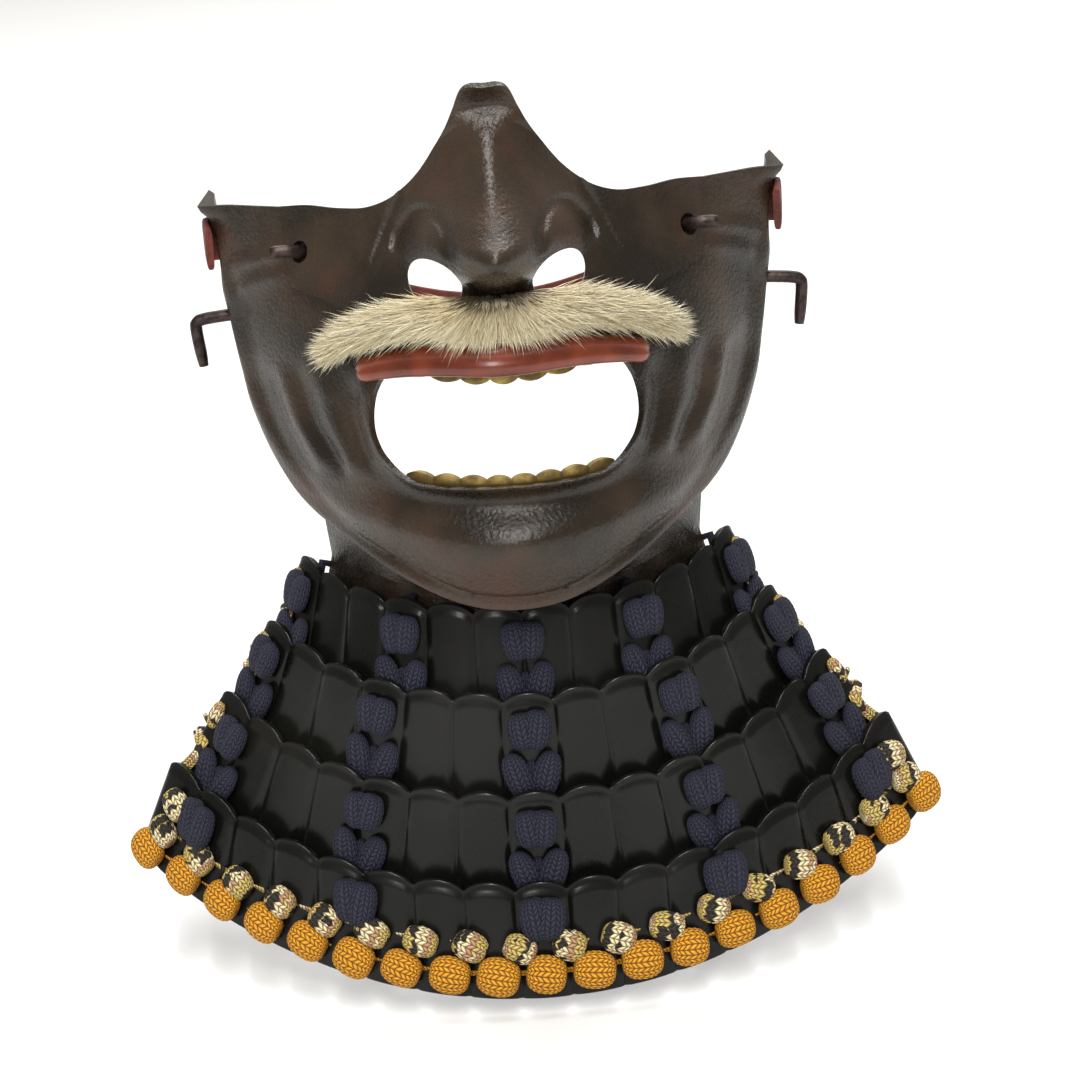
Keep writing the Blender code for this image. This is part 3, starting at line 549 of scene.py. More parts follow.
relief = {
    "lines": (  # on the face, as out and up in metres; width and height of each
        (((0.0360, 0.0440), (0.0378, 0.0350), (0.0366, 0.0260), (0.0338, 0.0170)), 0.0026, 0.0008),
        (((0.0407, 0.0440), (0.0423, 0.0330), (0.0410, 0.0255), (0.0375, 0.0155)), 0.0024, -0.0011),
        (((0.0500, 0.0450), (0.0479, 0.0310), (0.0442, 0.0224), (0.0405, 0.0130)), 0.0036, 0.0012),
        (((0.0572, 0.0440), (0.0546, 0.0284), (0.0495, 0.0204), (0.0450, 0.0130)), 0.0024, -0.0011),
        (((0.0622, 0.0420), (0.0592, 0.0286), (0.0542, 0.0204), (0.0495, 0.0130)), 0.0034, 0.0011),
        (((0.0673, 0.0400), (0.0645, 0.0290), (0.0600, 0.0180), (0.0540, 0.0100)), 0.0026, -0.0009),
        (((0.0739, 0.0345), (0.0698, 0.0237), (0.0650, 0.0150), (0.0590, 0.0080), (0.0520, 0.0020)),
            0.0019, 0.0009),
        (((0.0560, 0.0722), (0.0655, 0.0688), (0.0723, 0.0660), (0.0758, 0.0610), (0.0768, 0.0520)),
            0.0018, 0.0010),
        (((0.0550, 0.0682), (0.0650, 0.0634), (0.0710, 0.0600), (0.0746, 0.0560), (0.0755, 0.0490)),
            0.0018, 0.0010),
    ),
    "fade": 0.22,
    "mouthRim": 0.0013,
    "mouthRimWidth": 0.0016,
    "mouthRimUpper": 0.35,  # what is left of the rim above the mouth
    "mouthLower": (6.0, 9.0),
    "bands": (  # from the mouth or else the edge: how far in, width, height, spokes it starts and ends at
        (True, 0.0055, 0.0040, -0.0014, (-2, -1), (3.2, 5.5)),
        (False, 0.0, 0.0022, 0.0010, (3.0, 4.5), (8.6, 9.6)),
        (False, 0.0045, 0.0022, -0.0006, (3.0, 4.5), (8.6, 9.6)),
        (False, 0.0, 0.0013, 0.0013, (-2, -1), (2.6, 4.2)),
        (False, 0.0026, 0.0009, -0.0010, (-2, -1), (2.6, 4.2)),
    ),
    "cornerUp": (0.0755, 0.0815),
    "cornerOut": (0.0735, 0.0805),
    "cornerMoves": (0.0035, -0.0010, 0.0),
}


def faceRelief(x, z, u, v, length):
    out = np.zeros_like(x)
    for line, width, height in relief["lines"]:
        out += ridgeOn(x, z, line, width, height, relief["fade"])
    fromMouth = v * length
    fromEdge = (1 - v) * length
    upper = relief["mouthRimUpper"]
    lower = 1 - stepBetween(u, *relief["mouthLower"])
    out += relief["mouthRim"] * bell(fromMouth, relief["mouthRimWidth"]) * (upper + (1 - upper) * lower)
    for atMouth, inward, width, height, starts, ends in relief["bands"]:
        place = stepBetween(u, *starts) * (1 - stepBetween(u, *ends))
        out += height * bell((fromMouth if atMouth else fromEdge) - inward, width) * place
    return out


def gridPart(bm, columns, rows, place):  # a grid whose points are moved to place(u, v), each a share
    made = bmesh.ops.create_grid(bm, x_segments=columns, y_segments=rows, size=0.5)["verts"]
    shares = np.array([vert.co for vert in made])[:, :2] + 0.5
    for vert, spot in zip(made, place(shares[:, 0], shares[:, 1])):
        vert.co = spot
    return made


def wallGrid(bm, columns, rows, place):
    # a closed wall: place(u, v, inside) gives points of the outer face, and of the inner one if inside
    around = 2 * rows + 2

    def both(u, v):
        step = np.round(v * around)
        inside = (step > rows) & (step < around)
        step = np.where(inside, around - 1 - step, step % around)
        return place(u, step / rows, inside)

    gridPart(bm, columns, around, both)
    bmesh.ops.remove_doubles(bm, verts=bm.verts, dist=0.00001)


def closeWall(bm, mirrored=True):
    if mirrored:
        bmesh.ops.mirror(bm, geom=bm.verts[:] + bm.edges[:] + bm.faces[:], axis="X", merge_dist=0.00002)
    bmesh.ops.holes_fill(bm, edges=[e for e in bm.edges if e.is_boundary], sides=0)
    bmesh.ops.recalc_face_normals(bm, faces=bm.faces)


def maskPlace(u, v, inside, top):
    mouth, edge, flange = spokeEnds(u, top)
    rings, turned = face["rings"], 0 if top else face["flangeRings"]
    step = v * (rings + turned)
    share = np.minimum(step / rings, 1)
    past = np.maximum(step - rings, 0) / max(turned, 1)
    across = np.stack([mouth[0] - edge[0], np.zeros_like(u), mouth[1] - edge[1]], axis=1)
    length = np.linalg.norm(across, axis=1)
    across /= length[:, None]
    wall = face["wall"]
    kept = share if top else np.where(inside, np.minimum(share, 1 - wall / length), share)
    x = edge[0] + across[:, 0] * (1 - kept) * length
    z = edge[1] + across[:, 2] * (1 - kept) * length
    raised = faceRelief(x, z, edgePlace(u, top), kept, length)
    points = facePoint(x, z, raised - np.where(inside, wall, 0))
    outer = facePoint(*edge, faceRelief(*edge, edgePlace(u, top), np.ones_like(u), length))
    end = outer + np.stack([flange * face["flare"] * edge[0] / face["halfWidth"], flange, 0 * u], axis=1)
    end += across * np.where(inside, wall, 0)[:, None]
    corner = stepBetween(points[:, 2], *relief["cornerUp"])
    corner *= stepBetween(points[:, 0], *relief["cornerOut"])
    points += corner[:, None] * np.array(relief["cornerMoves"])
    points += (end - points) * past[:, None]
    points[np.abs(points[:, 0]) < 0.00001, 0] = 0  # so that the halves meet
    return points


def edgePlace(u, top):  # counted on from the jaw's spokes
    return u + (len(face["spokes"]) - 1 if top else 0)


def newObject(name, bm, finish):
    mesh = bpy.data.meshes.new(name)
    bm.to_mesh(mesh)
    bm.free()
    mesh.materials.append(finishes[finish])
    made = bpy.data.objects.new(name, mesh)
    bpy.context.scene.collection.objects.link(made)
    return made


def addRounding(piece, width, segments=2, degrees=50):
    rounding = piece.modifiers.new("rounding", "BEVEL")
    rounding.width = width
    rounding.segments = segments
    rounding.limit_method = "ANGLE"
    rounding.angle_limit = math.radians(degrees)


def cutAway(piece, cutters):
    holes = newObject("cutter", cutters, "darkIron")
    cut = piece.modifiers.new("holes", "BOOLEAN")
    cut.operation = "DIFFERENCE"
    cut.solver = "EXACT"
    cut.object = holes
    applyAll(piece)
    bpy.data.objects.remove(holes, do_unlink=True)


def applyAll(piece):
    graph = bpy.context.evaluated_depsgraph_get()
    graph.update()
    done = bpy.data.meshes.new_from_object(piece.evaluated_get(graph))
    piece.modifiers.clear()
    piece.data = done


def smoothShade(piece, degrees=45):
    piece.data.shade_smooth()
    piece.data.set_sharp_from_angle(angle=math.radians(degrees))


def finishPiece(piece, slot, *nodes, degrees=45):
    smoothShade(piece, degrees)
    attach(piece, "root")
    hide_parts(*nodes)
    print(piece.name, len(piece.data.polygons), "faces")


hooks = {
    "out": 0.0523,
    "up": 0.0723,
    "hole": 0.0031,
    "rod": 0.0016,
    "rodSpace": 0.0003,
    "cut": 0.012,
    "stands": 0.0055,
    "reach": 0.0058,
    "headIn": 0.0009,
    "headSize": (0.0030, 0.0030, 0.0009),
    "swell": 1.12,
    "tip": 0.25,  # how much of the thickness is gone at the tip
}
pegs = {
    "back": 0.083,
    "up": 0.049,
    "hole": 0.0019,
    "cut": 0.020,
    "reach": 0.011,
    "drop": 0.014,
    "lean": 0.001,
    "headIn": 0.0012,
}
strap = {
    "wide": 0.0130,
    "thick": 0.0022,
    "back": 0.090,
    "up": 0.070,
    "loop": 0.062,
    "sag": 0.044,
    "stands": 0.0022,
    "inset": 0.0052,
    "end": 0.0060,
    "slotDeep": 0.020,
    "slotSpace": (0.0012, 0.0016),  # thickness and width of the slot over the strap's
    "parts": 16,
}


def flangeOut(y, z):
    rows = np.array(face["spokes"])
    ups = rows[:, 3] * face["height"] - face["rimDrop"]
    edge = through(ups, rows[:, 2] * face["halfWidth"], np.array([z]))
    return float((edge + (y - faceBack(edge, np.array([z]))) * face["flare"] * edge / face["halfWidth"])[0])


def turnedTo(place, direction):
    return Matrix.Translation(Vector(place)) @ Vector(direction).to_track_quat("Z", "Y").to_matrix().to_4x4()


def rodCutter(bm, centre, direction, radius, depth):
    sized = Matrix.Diagonal((radius, radius, depth, 1))
    addRound(bm, turnedTo(centre, direction) @ sized, 32)


def addRound(bm, place, segments):  # a cylinder of radius and depth 1, moved by the matrix
    bmesh.ops.create_cone(
        bm, cap_ends=True, segments=segments, radius1=1, radius2=1, depth=1, matrix=place)


def hookSeat(side):  # a hook's place on the face, and the way out from it
    x, z = np.array([side * hooks["out"]]), np.array([hooks["up"]])
    return Vector(facePoint(x, z)[0]), Vector(faceNormal(x, z)[0])


def makeMask():
    bm = bmesh.new()
    for top in (False, True):
        spokes = len(face["topSpokes" if top else "spokes"]) - 1
        rows = face["rings"] + (0 if top else face["flangeRings"])

        def place(u, v, inside):
            return maskPlace(u * spokes, v, inside, top)

        wallGrid(bm, spokes * face["spokeParts"], rows, place)
    closeWall(bm)
    shell = newObject("maskShell", bm, "brownLacquer")
    cutters = bmesh.new()
    for side in (-1, 1):
        rodCutter(cutters, *hookSeat(side), hooks["rod"] + hooks["rodSpace"], hooks["cut"])
        pegRoot = (side * face["halfWidth"], pegs["back"], pegs["up"])
        rodCutter(cutters, pegRoot, (1, 0, 0), pegs["hole"], pegs["cut"])
        thick, wide = strap["thick"] + strap["slotSpace"][0], strap["wide"] + strap["slotSpace"][1]
        sized = Matrix.Diagonal((strap["slotDeep"], thick, wide, 1))
        centre = Matrix.Translation((side * face["halfWidth"], strap["back"], strap["up"]))
        bmesh.ops.create_cube(cutters, size=1, matrix=centre @ sized)
    cutAway(shell, cutters)
    addRounding(shell, face["rounding"])
    finishPiece(shell, "brown_lacquer", "mask_shell")


makeMask()

nose = {
    "gap": 0.0006,
    "wall": 0.0018,
    "rise": 0.034,
    "halfWidth": 0.026,
    "wingOut": 0.0178,
    "wingUp": 0.0772,
    "wingWide": 0.0086,
    "wingTall": 0.0106,
    "wingRise": 0.0050,
    "crest": 0.0013,
    "crestWide": 0.0038,
    "crestFrom": (0.0735, 0.0800),
    "crestTo": (0.106, 0.111),
    "lines": (  # on the plate, as out and up; width, height and fade of each
        (((0.0108, 0.0765), (0.0112, 0.0827), (0.0127, 0.0862), (0.0158, 0.0874), (0.0196, 0.0855),
            (0.0240, 0.0797), (0.0256, 0.0725)), 0.0016, -0.0026, 0.10),
        (((0.0140, 0.1069), (0.0212, 0.0935), (0.0258, 0.0841), (0.0297, 0.0753), (0.0330, 0.0675)),
            0.0012, -0.0012, 0.15),
        (((0.0112, 0.1050), (0.0190, 0.0925), (0.0236, 0.0880)), 0.0016, 0.0005, 0.25),
        (((-0.0010, 0.1100), (0.0056, 0.1092), (0.0098, 0.1066), (0.0134, 0.1028), (0.0172, 0.0971)),
            0.0012, -0.0007, 0.05),
    ),
    "nostrilOut": 0.0164,
    "nostrilUp": 0.0700,
    "nostrilWide": 0.0072,
    "nostrilTall": 0.0072,
    "nostrilDeep": 0.08,
    "hookHoleDeep": 0.02,
    "rounding": 0.0004,
    "levels": (  # level, rise, width
        (0.760, 0.06, 0.77),
        (0.788, 0.08, 0.77),
        (0.837, 0.20, 0.77),
        (0.861, 0.35, 0.77),
        (0.880, 0.56, 0.83),
        (0.904, 0.76, 0.90),
        (0.942, 0.94, 0.96),
        (0.981, 0.97, 1.00),
        (1.019, 0.80, 1.00),
        (1.067, 0.58, 0.92),
        (1.135, 0.325, 0.73),
        (1.212, 0.110, 0.56),
        (1.250, 0.015, 0.48),
        (1.285, -0.095, 0.40),
        (1.310, -0.080, 0.38),
        (1.340, -0.005, 0.35),
    ),
    "spokes": (  # top out and level, low out and level
        (0.000, 1.337, 0.000, 0.760),
        (0.042, 1.340, 0.044, 0.760),
        (0.068, 1.330, 0.0875, 0.760),
        (0.090, 1.293, 0.119, 0.760),
        (0.122, 1.240, 0.150, 0.760),
        (0.1625, 1.188, 0.1875, 0.760),
        (0.219, 1.125, 0.231, 0.760),
        (0.300, 1.061, 0.2875, 0.760),
        (0.400, 1.021, 0.3625, 0.760),
        (0.5125, 1.010, 0.475, 0.760),
        (0.625, 1.010, 0.5875, 0.779),
        (0.716, 1.000, 0.694, 0.798),
    ),
    "columnParts": 10,
    "rows": 100,
}


def noseRise(x, z):
    level = (z + face["rimDrop"]) / face["height"]
    rows = np.array(nose["levels"])
    rise = through(rows[:, 0], rows[:, 1], level) * nose["rise"]
    wide = through(rows[:, 0], rows[:, 2], level) * nose["halfWidth"]
    across = np.minimum(np.abs(x) / wide, 1)
    wing = ((np.abs(x) - nose["wingOut"]) / nose["wingWide"]) ** 2
    wing += ((z - nose["wingUp"]) / nose["wingTall"]) ** 2
    found = rise * (1 + np.cos(np.pi * across)) / 2 + nose["wingRise"] * np.maximum(1 - wing, 0) ** 2
    crest = nose["crest"] * stepBetween(z, *nose["crestFrom"]) * (1 - stepBetween(z, *nose["crestTo"]))
    found += crest * bell(x, nose["crestWide"])
    for line, width, height, fade in nose["lines"]:
        found += ridgeOn(x, z, line, width, height, fade)
    return found


def plateOuter(x, z):
    points = facePoint(x, z, nose["gap"] + nose["wall"])
    points[:, 1] -= noseRise(x, z)
    return points


def slopeOf(surface, x, z, probe=0.001):  # unit normals of a surface, out towards the front
    along = surface(x + probe, z) - surface(x - probe, z)
    up = surface(x, z + probe) - surface(x, z - probe)
    normal = np.cross(along, up)
    return normal / np.linalg.norm(normal, axis=1)[:, None]


def platePlace(u, v, inside):
    rows = np.array(nose["spokes"])
    rows = np.vstack([rows[1] * (-1, 1, -1, 1), rows])
    at = u * (len(rows) - 2)
    found = [through(np.arange(-1, len(rows) - 1), rows[:, k], at) for k in range(4)]
    x = (found[2] + (found[0] - found[2]) * v) * face["halfWidth"]
    z = (found[3] + (found[1] - found[3]) * v) * face["height"] - face["rimDrop"]
    middle = u < 1e-6
    x[middle] = 0
    points = plateOuter(x, z) - slopeOf(plateOuter, x, z) * np.where(inside, nose["wall"], 0)[:, None]
    points[middle, 0] = 0
    return points


def makeNose():
    bm = bmesh.new()
    wallGrid(bm, (len(nose["spokes"]) - 1) * nose["columnParts"], nose["rows"], platePlace)
    closeWall(bm)
    plate = newObject("nosePlate", bm, "brownLacquer")
    cutters = bmesh.new()
    for side in (-1, 1):
        rodCutter(cutters, *hookSeat(side), hooks["hole"], nose["hookHoleDeep"])
        sized = Matrix.Diagonal((nose["nostrilWide"], nose["nostrilDeep"], nose["nostrilTall"], 1))
        place = Matrix.Translation((side * nose["nostrilOut"], 0, nose["nostrilUp"]))
        addRound(cutters, place @ sized @ Matrix.Rotation(math.pi / 2, 4, "X"), 64)
    bmesh.ops.recalc_face_normals(cutters, faces=cutters.faces)
    cutAway(plate, cutters)
    addRounding(plate, nose["rounding"])
    finishPiece(plate, "brown_lacquer", "nose_plate")


makeNose()


def surfaceMap(bm):
    return bm.loops.layers.uv.get("surface") or bm.loops.layers.uv.new("surface")


def addSweep(bm, points, sizes, acrosses, sides, square=1.0, dent=0.0, dentWide=0.24):
    # a closed tube along the points, with its width and thickness at each; square under 1 makes it boxy
    points = [Vector(point) for point in points]
    last = len(points) - 1
    runs = [0.0]
    for i in range(last):
        runs.append(runs[-1] + (points[i + 1] - points[i]).length)
    frames = []
    for i, point in enumerate(points):
        ahead = (points[min(i + 1, last)] - points[max(i - 1, 0)]).normalized()
        across = Vector(acrosses[i] if isinstance(acrosses, list) else acrosses)
        wide = (across - ahead * across.dot(ahead)).normalized()
        frames.append((wide, ahead.cross(wide)))
    made = bmesh.ops.create_grid(bm, x_segments=last, y_segments=sides, size=0.5)["verts"]
    uv = surfaceMap(bm)
    for f in {f for vert in made for f in vert.link_faces}:
        for loop in f.loops:
            i = round((loop.vert.co.x + 0.5) * last)
            girth = (sizes[i][0] + sizes[i][1]) * 1.6
            loop[uv].uv = (runs[i] * 1000, loop.vert.co.y * girth * 1000)
    for vert in made:
        i = round((vert.co.x + 0.5) * last)
        turn = 2 * math.pi * (vert.co.y + 0.5)
        wide, thick = frames[i]
        c, s = math.cos(turn), math.sin(turn)
        c = math.copysign(abs(c) ** square, c)
        s = math.copysign(abs(s) ** square, s)
        s -= dent * max(s, 0) * math.exp(-(c / dentWide) ** 2)
        vert.co = points[i] - wide * c * sizes[i][0] / 2 + thick * s * sizes[i][1] / 2
    bmesh.ops.remove_doubles(bm, verts=made, dist=0.000002)
    bmesh.ops.holes_fill(bm, edges=[e for e in bm.edges if e.is_boundary], sides=0)


def plaitHeight(along, across):  # the same strands as in plaitWires, in millimetres
    column = math.floor(across / plait["column"])
    inColumn = across / plait["column"] - column
    side = (abs(column) % 2) * 2 - 1
    phase = along / plait["stroke"] + side * (inColumn - 0.5) * plait["lean"]
    inStroke = phase - math.floor(phase)
    return (1 - abs(inStroke * 2 - 1) ** 2.2) * (1 - abs(inColumn * 2 - 1) ** 3)


def addLobe(bm, centre, along, out, size, parts=(44, 28), plump=0.80, phase=0.0):
    # a plaited cushion: size is its length, width and thickness; phase slides the strands along it
    along = Vector(along).normalized()
    out = Vector(out)
    out = (out - along * out.dot(along)).normalized()
    side = out.cross(along)
    length, width, thick = size
    made = bmesh.ops.create_uvsphere(bm, u_segments=parts[0], v_segments=parts[1], radius=1)["verts"]
    uv = surfaceMap(bm)
    spots = {}
    for vert in made:
        spots[vert] = (math.atan2(vert.co.x, vert.co.y), math.asin(max(-1, min(1, vert.co.z))))
    run = 1000 * length / math.pi
    girth = 1000 * (width + thick) / 4
    for f in {f for vert in made for f in vert.link_faces}:
        turns = [spots[loop.vert][0] for loop in f.loops]
        wraps = max(turns) - min(turns) > math.pi
        for loop, turn in zip(f.loops, turns):
            turn += 2 * math.pi if wraps and turn < 0 else 0
            loop[uv].uv = (spots[loop.vert][1] * run + phase, turn * girth)
    for vert in made:
        turn, rise = spots[vert]
        flat = math.cos(rise) ** plump
        strand = plait["depth"] / 1000 * plaitHeight(rise * run + phase, turn * girth)
        strands = 1 + strand / (thick / 2) * flat
        x = math.copysign(abs(math.sin(turn)) ** 0.9, turn) * flat * strands
        y = math.cos(turn) * flat * strands
        z = math.copysign(abs(math.sin(rise)) ** 0.92, rise)
        vert.co = Vector(centre) + side * x * width / 2 + out * y * thick / 2 + along * z * length / 2


throat = {
    "wall": 0.0018,
    "cordSpace": 0.0042,
    "lap": 0.0052,
    "scallopRise": 0.0027,
    "scallopParts": 12,
    "rows": 26,
    "band": 0.0022,  # from the scalloped edge to the raised panel
    "panel": 0.00045,
    "panelSoft": (0.8, 1.35),  # where the panel rises, in bands
    "crown": 0.00045,
    "groove": 0.00030,
    "grooveWide": 0.00045,
    "cornerRise": 0.0075,
    "seam": 0.0007,
    "seamSoft": (0.8, 2.0),
    "gather": 1.25,  # over 1 the rows lie closer at the top
    "rounding": 0.00050,
    "lames": (  # scallops, scallop, radius, tilt, front, top, where the lacing hangs
        (12, 0.01350, 0.068, 7.0, 0.0180, -0.0251, (0, 2.5, 5.45)),
        (13, 0.01385, 0.084, 17.0, 0.0075, -0.0473, (0, 3.0, 5.95)),
        (15, 0.01420, 0.102, 22.5, -0.0005, -0.0736, (0, 3.3, 6.60)),
        (17, 0.01440, 0.130, 28.3, -0.0070, -0.0982, (0, 3.6, 7.25)),
    ),
    "lowDrop": 0.0294,
    "lowForward": 0.0070,
    "lowEndDrop": 0.0257,
    "lowEndForward": 0.0030,
    "lowEndSpread": 0.0118,
    "corner": 0.75,  # rounding of the last lame's lower corners, in scallops
}


def lameTop(index, at):
    scallops, scallop, radius, tilt, front, top, hangs = throat["lames"][index]
    turn = at * scallop / radius
    back = radius * (1 - math.cos(turn))
    lean = math.radians(tilt)
    return Vector((radius * math.sin(turn), front + back * math.cos(lean), top + back * math.sin(lean)))


def lameAlong(index, at):
    return (lameTop(index, at + 0.05) - lameTop(index, at - 0.05)).normalized()


def lameDown(index, at):
    share = at / (throat["lames"][index][0] / 2)
    if index == len(throat["lames"]) - 1:
        middle = Vector((0, -throat["lowForward"], -throat["lowDrop"]))
        spread = math.copysign(throat["lowEndSpread"], at)
        end = Vector((spread, -throat["lowEndForward"], -throat["lowEndDrop"]))
        return middle.lerp(end, share * share)
    below = share * throat["lames"][index + 1][0] / 2
    inside = lameTop(index + 1, below) - lameNormal(index + 1, below) * (throat["wall"] + throat["cordSpace"])
    return inside - lameTop(index, at)


def lameNormal(index, at):
    return lameDown(index, at).cross(lameAlong(index, at)).normalized()


def lamePoint(index, at, drop, out=0.0):
    return lameTop(index, at) + lameDown(index, at).normalized() * drop + lameNormal(index, at) * out


def scallopRise(phase):
    return throat["scallopRise"] * max(1 - abs(2 * phase - 1) ** 2.2, 0) ** 0.75


def makeLame(index):
    scallops, scallop = throat["lames"][index][:2]
    last = index == len(throat["lames"]) - 1
    columns = scallops * throat["scallopParts"]
    cache = {}

    def column(k):
        at = (k / throat["scallopParts"]) - scallops / 2
        down = lameDown(index, at)
        height = down.length + (0 if last else throat["lap"])
        if last:
            past = max(abs(at) - (scallops / 2 - throat["corner"]), 0) / throat["corner"]
            height -= throat["cornerRise"] * (1 - math.sqrt(max(1 - past * past, 0)))
        return at, lameTop(index, at), down.normalized(), lameNormal(index, at), height

    def place(u, v, inside):
        spots = []
        for share, low, within in zip(u, 1 - v, inside):
            k = round(share * columns)
            if k not in cache:
                cache[k] = column(k)
            at, top, down, normal, height = cache[k]
            phase = (at + scallops / 2) % 1
            rise = scallopRise(phase)
            drop = -rise + (height + rise) * low ** throat["gather"]
            side = min(phase, 1 - phase) * scallop
            under = drop + rise
            panel = float(stepBetween(under / throat["band"], *throat["panelSoft"]))
            panel *= float(stepBetween(side / throat["seam"], *throat["seamSoft"]))
            groove = -throat["groove"] * math.exp(-(side / throat["grooveWide"]) ** 2)
            crown = throat["crown"] * (1 - (2 * phase - 1) ** 2)
            out = -throat["wall"] if within else panel * throat["panel"] + groove + crown
            spots.append(top + down * drop + normal * out)
        return spots

    bm = bmesh.new()
    wallGrid(bm, columns, throat["rows"], place)
    closeWall(bm, False)
    piece = newObject(f"lame{index + 1}", bm, "blackLacquer")
    addRounding(piece, throat["rounding"])
    finishPiece(piece, "black_lacquer", f"lame_{index + 1}", degrees=60)


for index in range(len(throat["lames"])):
    makeLame(index)

neck = {
    "reach": 0.0095,
    "knee": 0.0055,
    "kneeAt": 0.52,  # shares of the way down
    "kneeSoft": (0.42, 0.62),
    "span": 0.90,
    "lastSpoke": 4.4,
    "fromEdge": (0.0008, 0.0004),  # back and up from the edge of the jaw
    "wall": 0.0018,
    "parts": 60,
    "rows": 24,
    "rounding": 0.0004,
}


def makeNeck():
    half = throat["lames"][0][0] / 2 * neck["span"]
    inward = -(throat["wall"] + throat["cordSpace"])
    kneeAt = neck["kneeAt"]

    def place(u, v, inside):
        mouth, edge, flange = spokeEnds(u * neck["lastSpoke"])
        under = facePoint(edge[0], edge[1])
        under[:, 1] += flange + neck["fromEdge"][0]
        under[:, 2] += neck["fromEdge"][1]
        spots = []
        for share, down, within, first in zip(u, 1 - v, inside, under):
            normal = lameNormal(0, share * half)
            deeper = neck["wall"] if within else 0
            knee = lamePoint(0, share * half, -neck["knee"], inward)
            foot = lamePoint(0, share * half, neck["reach"], inward - deeper)
            out = (knee - Vector(first)).cross(lameAlong(0, share * half)).normalized()
            upper = Vector(first).lerp(knee, min(down / kneeAt, 1)) - out * deeper
            lower = (knee - normal * deeper).lerp(foot, max((down - kneeAt) / (1 - kneeAt), 0))
            spot = upper.lerp(lower, float(stepBetween(down, *neck["kneeSoft"])))
            if share < 1e-6:
                spot.x = 0
            spots.append(spot)
        return spots

    bm = bmesh.new()
    wallGrid(bm, neck["parts"], neck["rows"], place)
    closeWall(bm)
    piece = newObject("neckPlate", bm, "brownLacquer")
    addRounding(piece, neck["rounding"])
    finishPiece(piece, "brown_lacquer", "neck_plate")


makeNeck()

lacing = {
    "stem": 0.0024,
    "stemWide": 0.0030,
    "stemSides": 8,
    "rub": 0.0004,  # between the stem and the lame
    "front": 0.0012,  # how far out a stem's end stands
    "neckIn": 0.0016,
    "neckDrop": -0.0025,
    "lift": 0.0002,  # between the lobes and the lame
    "padDrop": 0.0073,
    "padSize": (0.0110, 0.0078, 0.0048),
    "padParts": (44, 28),
    "padPlump": 0.58,
    "padApart": 0.0021,
    "padLean": 0.13,
    "padStep": 0.0004,
    "lastPads": 1.12,
    "earDrop": 0.0208,
    "earSize": (0.0148, 0.0076, 0.0040),
    "earApart": 0.0039,
    "earLean": 0.30,
    "earEnd": 0.0035,
    "holes": (0.0036, 0.0110, 0.0165),
    "outward": 0.0010,
    "slide": 4,  # how far the strands are slid along a lobe at most, in millimetres
}


def makeLacing(number):
    bm = bmesh.new()
    chance = random.Random(number + 11)
    wall, space, lift = throat["wall"], throat["cordSpace"], lacing["lift"]
    stem = (lacing["stemWide"], lacing["stem"])
    upper, middle, lower = lacing["holes"]
    inside = -(wall + lacing["stem"] / 2 + lacing["rub"])
    between = -(wall + space / 2)
    ats = []
    for row in throat["lames"]:
        near, far = row[6][1:]
        ats.append((-far, -near, 0, near, far)[number])
    begin = [
        lamePoint(0, ats[0], lacing["neckDrop"], -(wall + space + neck["wall"] + lacing["neckIn"])),
        lamePoint(0, ats[0], lacing["neckDrop"], between),
        lamePoint(0, ats[0], upper, between),
        lamePoint(0, ats[0], upper, lacing["front"]),
    ]
    addSweep(bm, begin, [stem] * 4, lameAlong(0, ats[0]), lacing["stemSides"])
    for index, at in enumerate(ats):
        last = index == len(ats) - 1
        along = lameAlong(index, at)
        down = lameDown(index, at).normalized()
        normal = lameNormal(index, at)
        length, width, thick = (value * (lacing["lastPads"] if last else 1) for value in lacing["padSize"])
        for side in (-1, 1):
            drop = lacing["padDrop"] + chance.uniform(-0.0003, 0.0003)
            centre = lamePoint(index, at, drop, lift + thick / 2 + (lacing["padStep"] if side > 0 else 0))
            centre += along * side * lacing["padApart"]
            direction = -down + along * side * (lacing["padLean"] + chance.uniform(-0.05, 0.05))
            size = (length * chance.uniform(0.96, 1.05), width, thick)
            slid = chance.uniform(0, lacing["slide"])
            addLobe(bm, centre, direction, normal, size, lacing["padParts"], lacing["padPlump"], slid)
        behind = [
            lamePoint(index, at, upper, inside),
            lamePoint(index, at, (upper + middle) / 2, inside - lacing["lift"]),
            lamePoint(index, at, middle, inside),
        ]
        addSweep(bm, behind, [stem] * 3, along, lacing["stemSides"])
        if last:
            continue
        size = lacing["earSize"]
        for side in (-1, 1):
            drop = lacing["earDrop"] + chance.uniform(-0.0004, 0.0004)
            centre = lamePoint(index, at, drop, lift + size[2] / 2) + along * side * lacing["earApart"]
            direction = -down + along * side * (lacing["earLean"] + chance.uniform(-0.06, 0.06))
            addLobe(bm, centre, direction, normal, size, phase=chance.uniform(0, lacing["slide"]))
        below = ats[index + 1]
        link = [
            lamePoint(index, at, middle, inside),
            lamePoint(index, at, lower, inside),
            lamePoint(index, at, lower + lacing["outward"], lacing["outward"]),
            lamePoint(index, at, lacing["earDrop"] + lacing["earEnd"], lacing["stem"] / 2 + lacing["rub"]),
            lamePoint(index + 1, below, upper, between),
            lamePoint(index + 1, below, upper, lacing["front"]),
        ]
        addSweep(bm, link, [stem] * 6, along, lacing["stemSides"])
    piece = newObject(f"lacingColumn{number + 1}", bm, "navyBraid")
    finishPiece(piece, "navy_braid", f"lacing_column_{number + 1}", degrees=80)


for number in range(5):
    makeLacing(number)

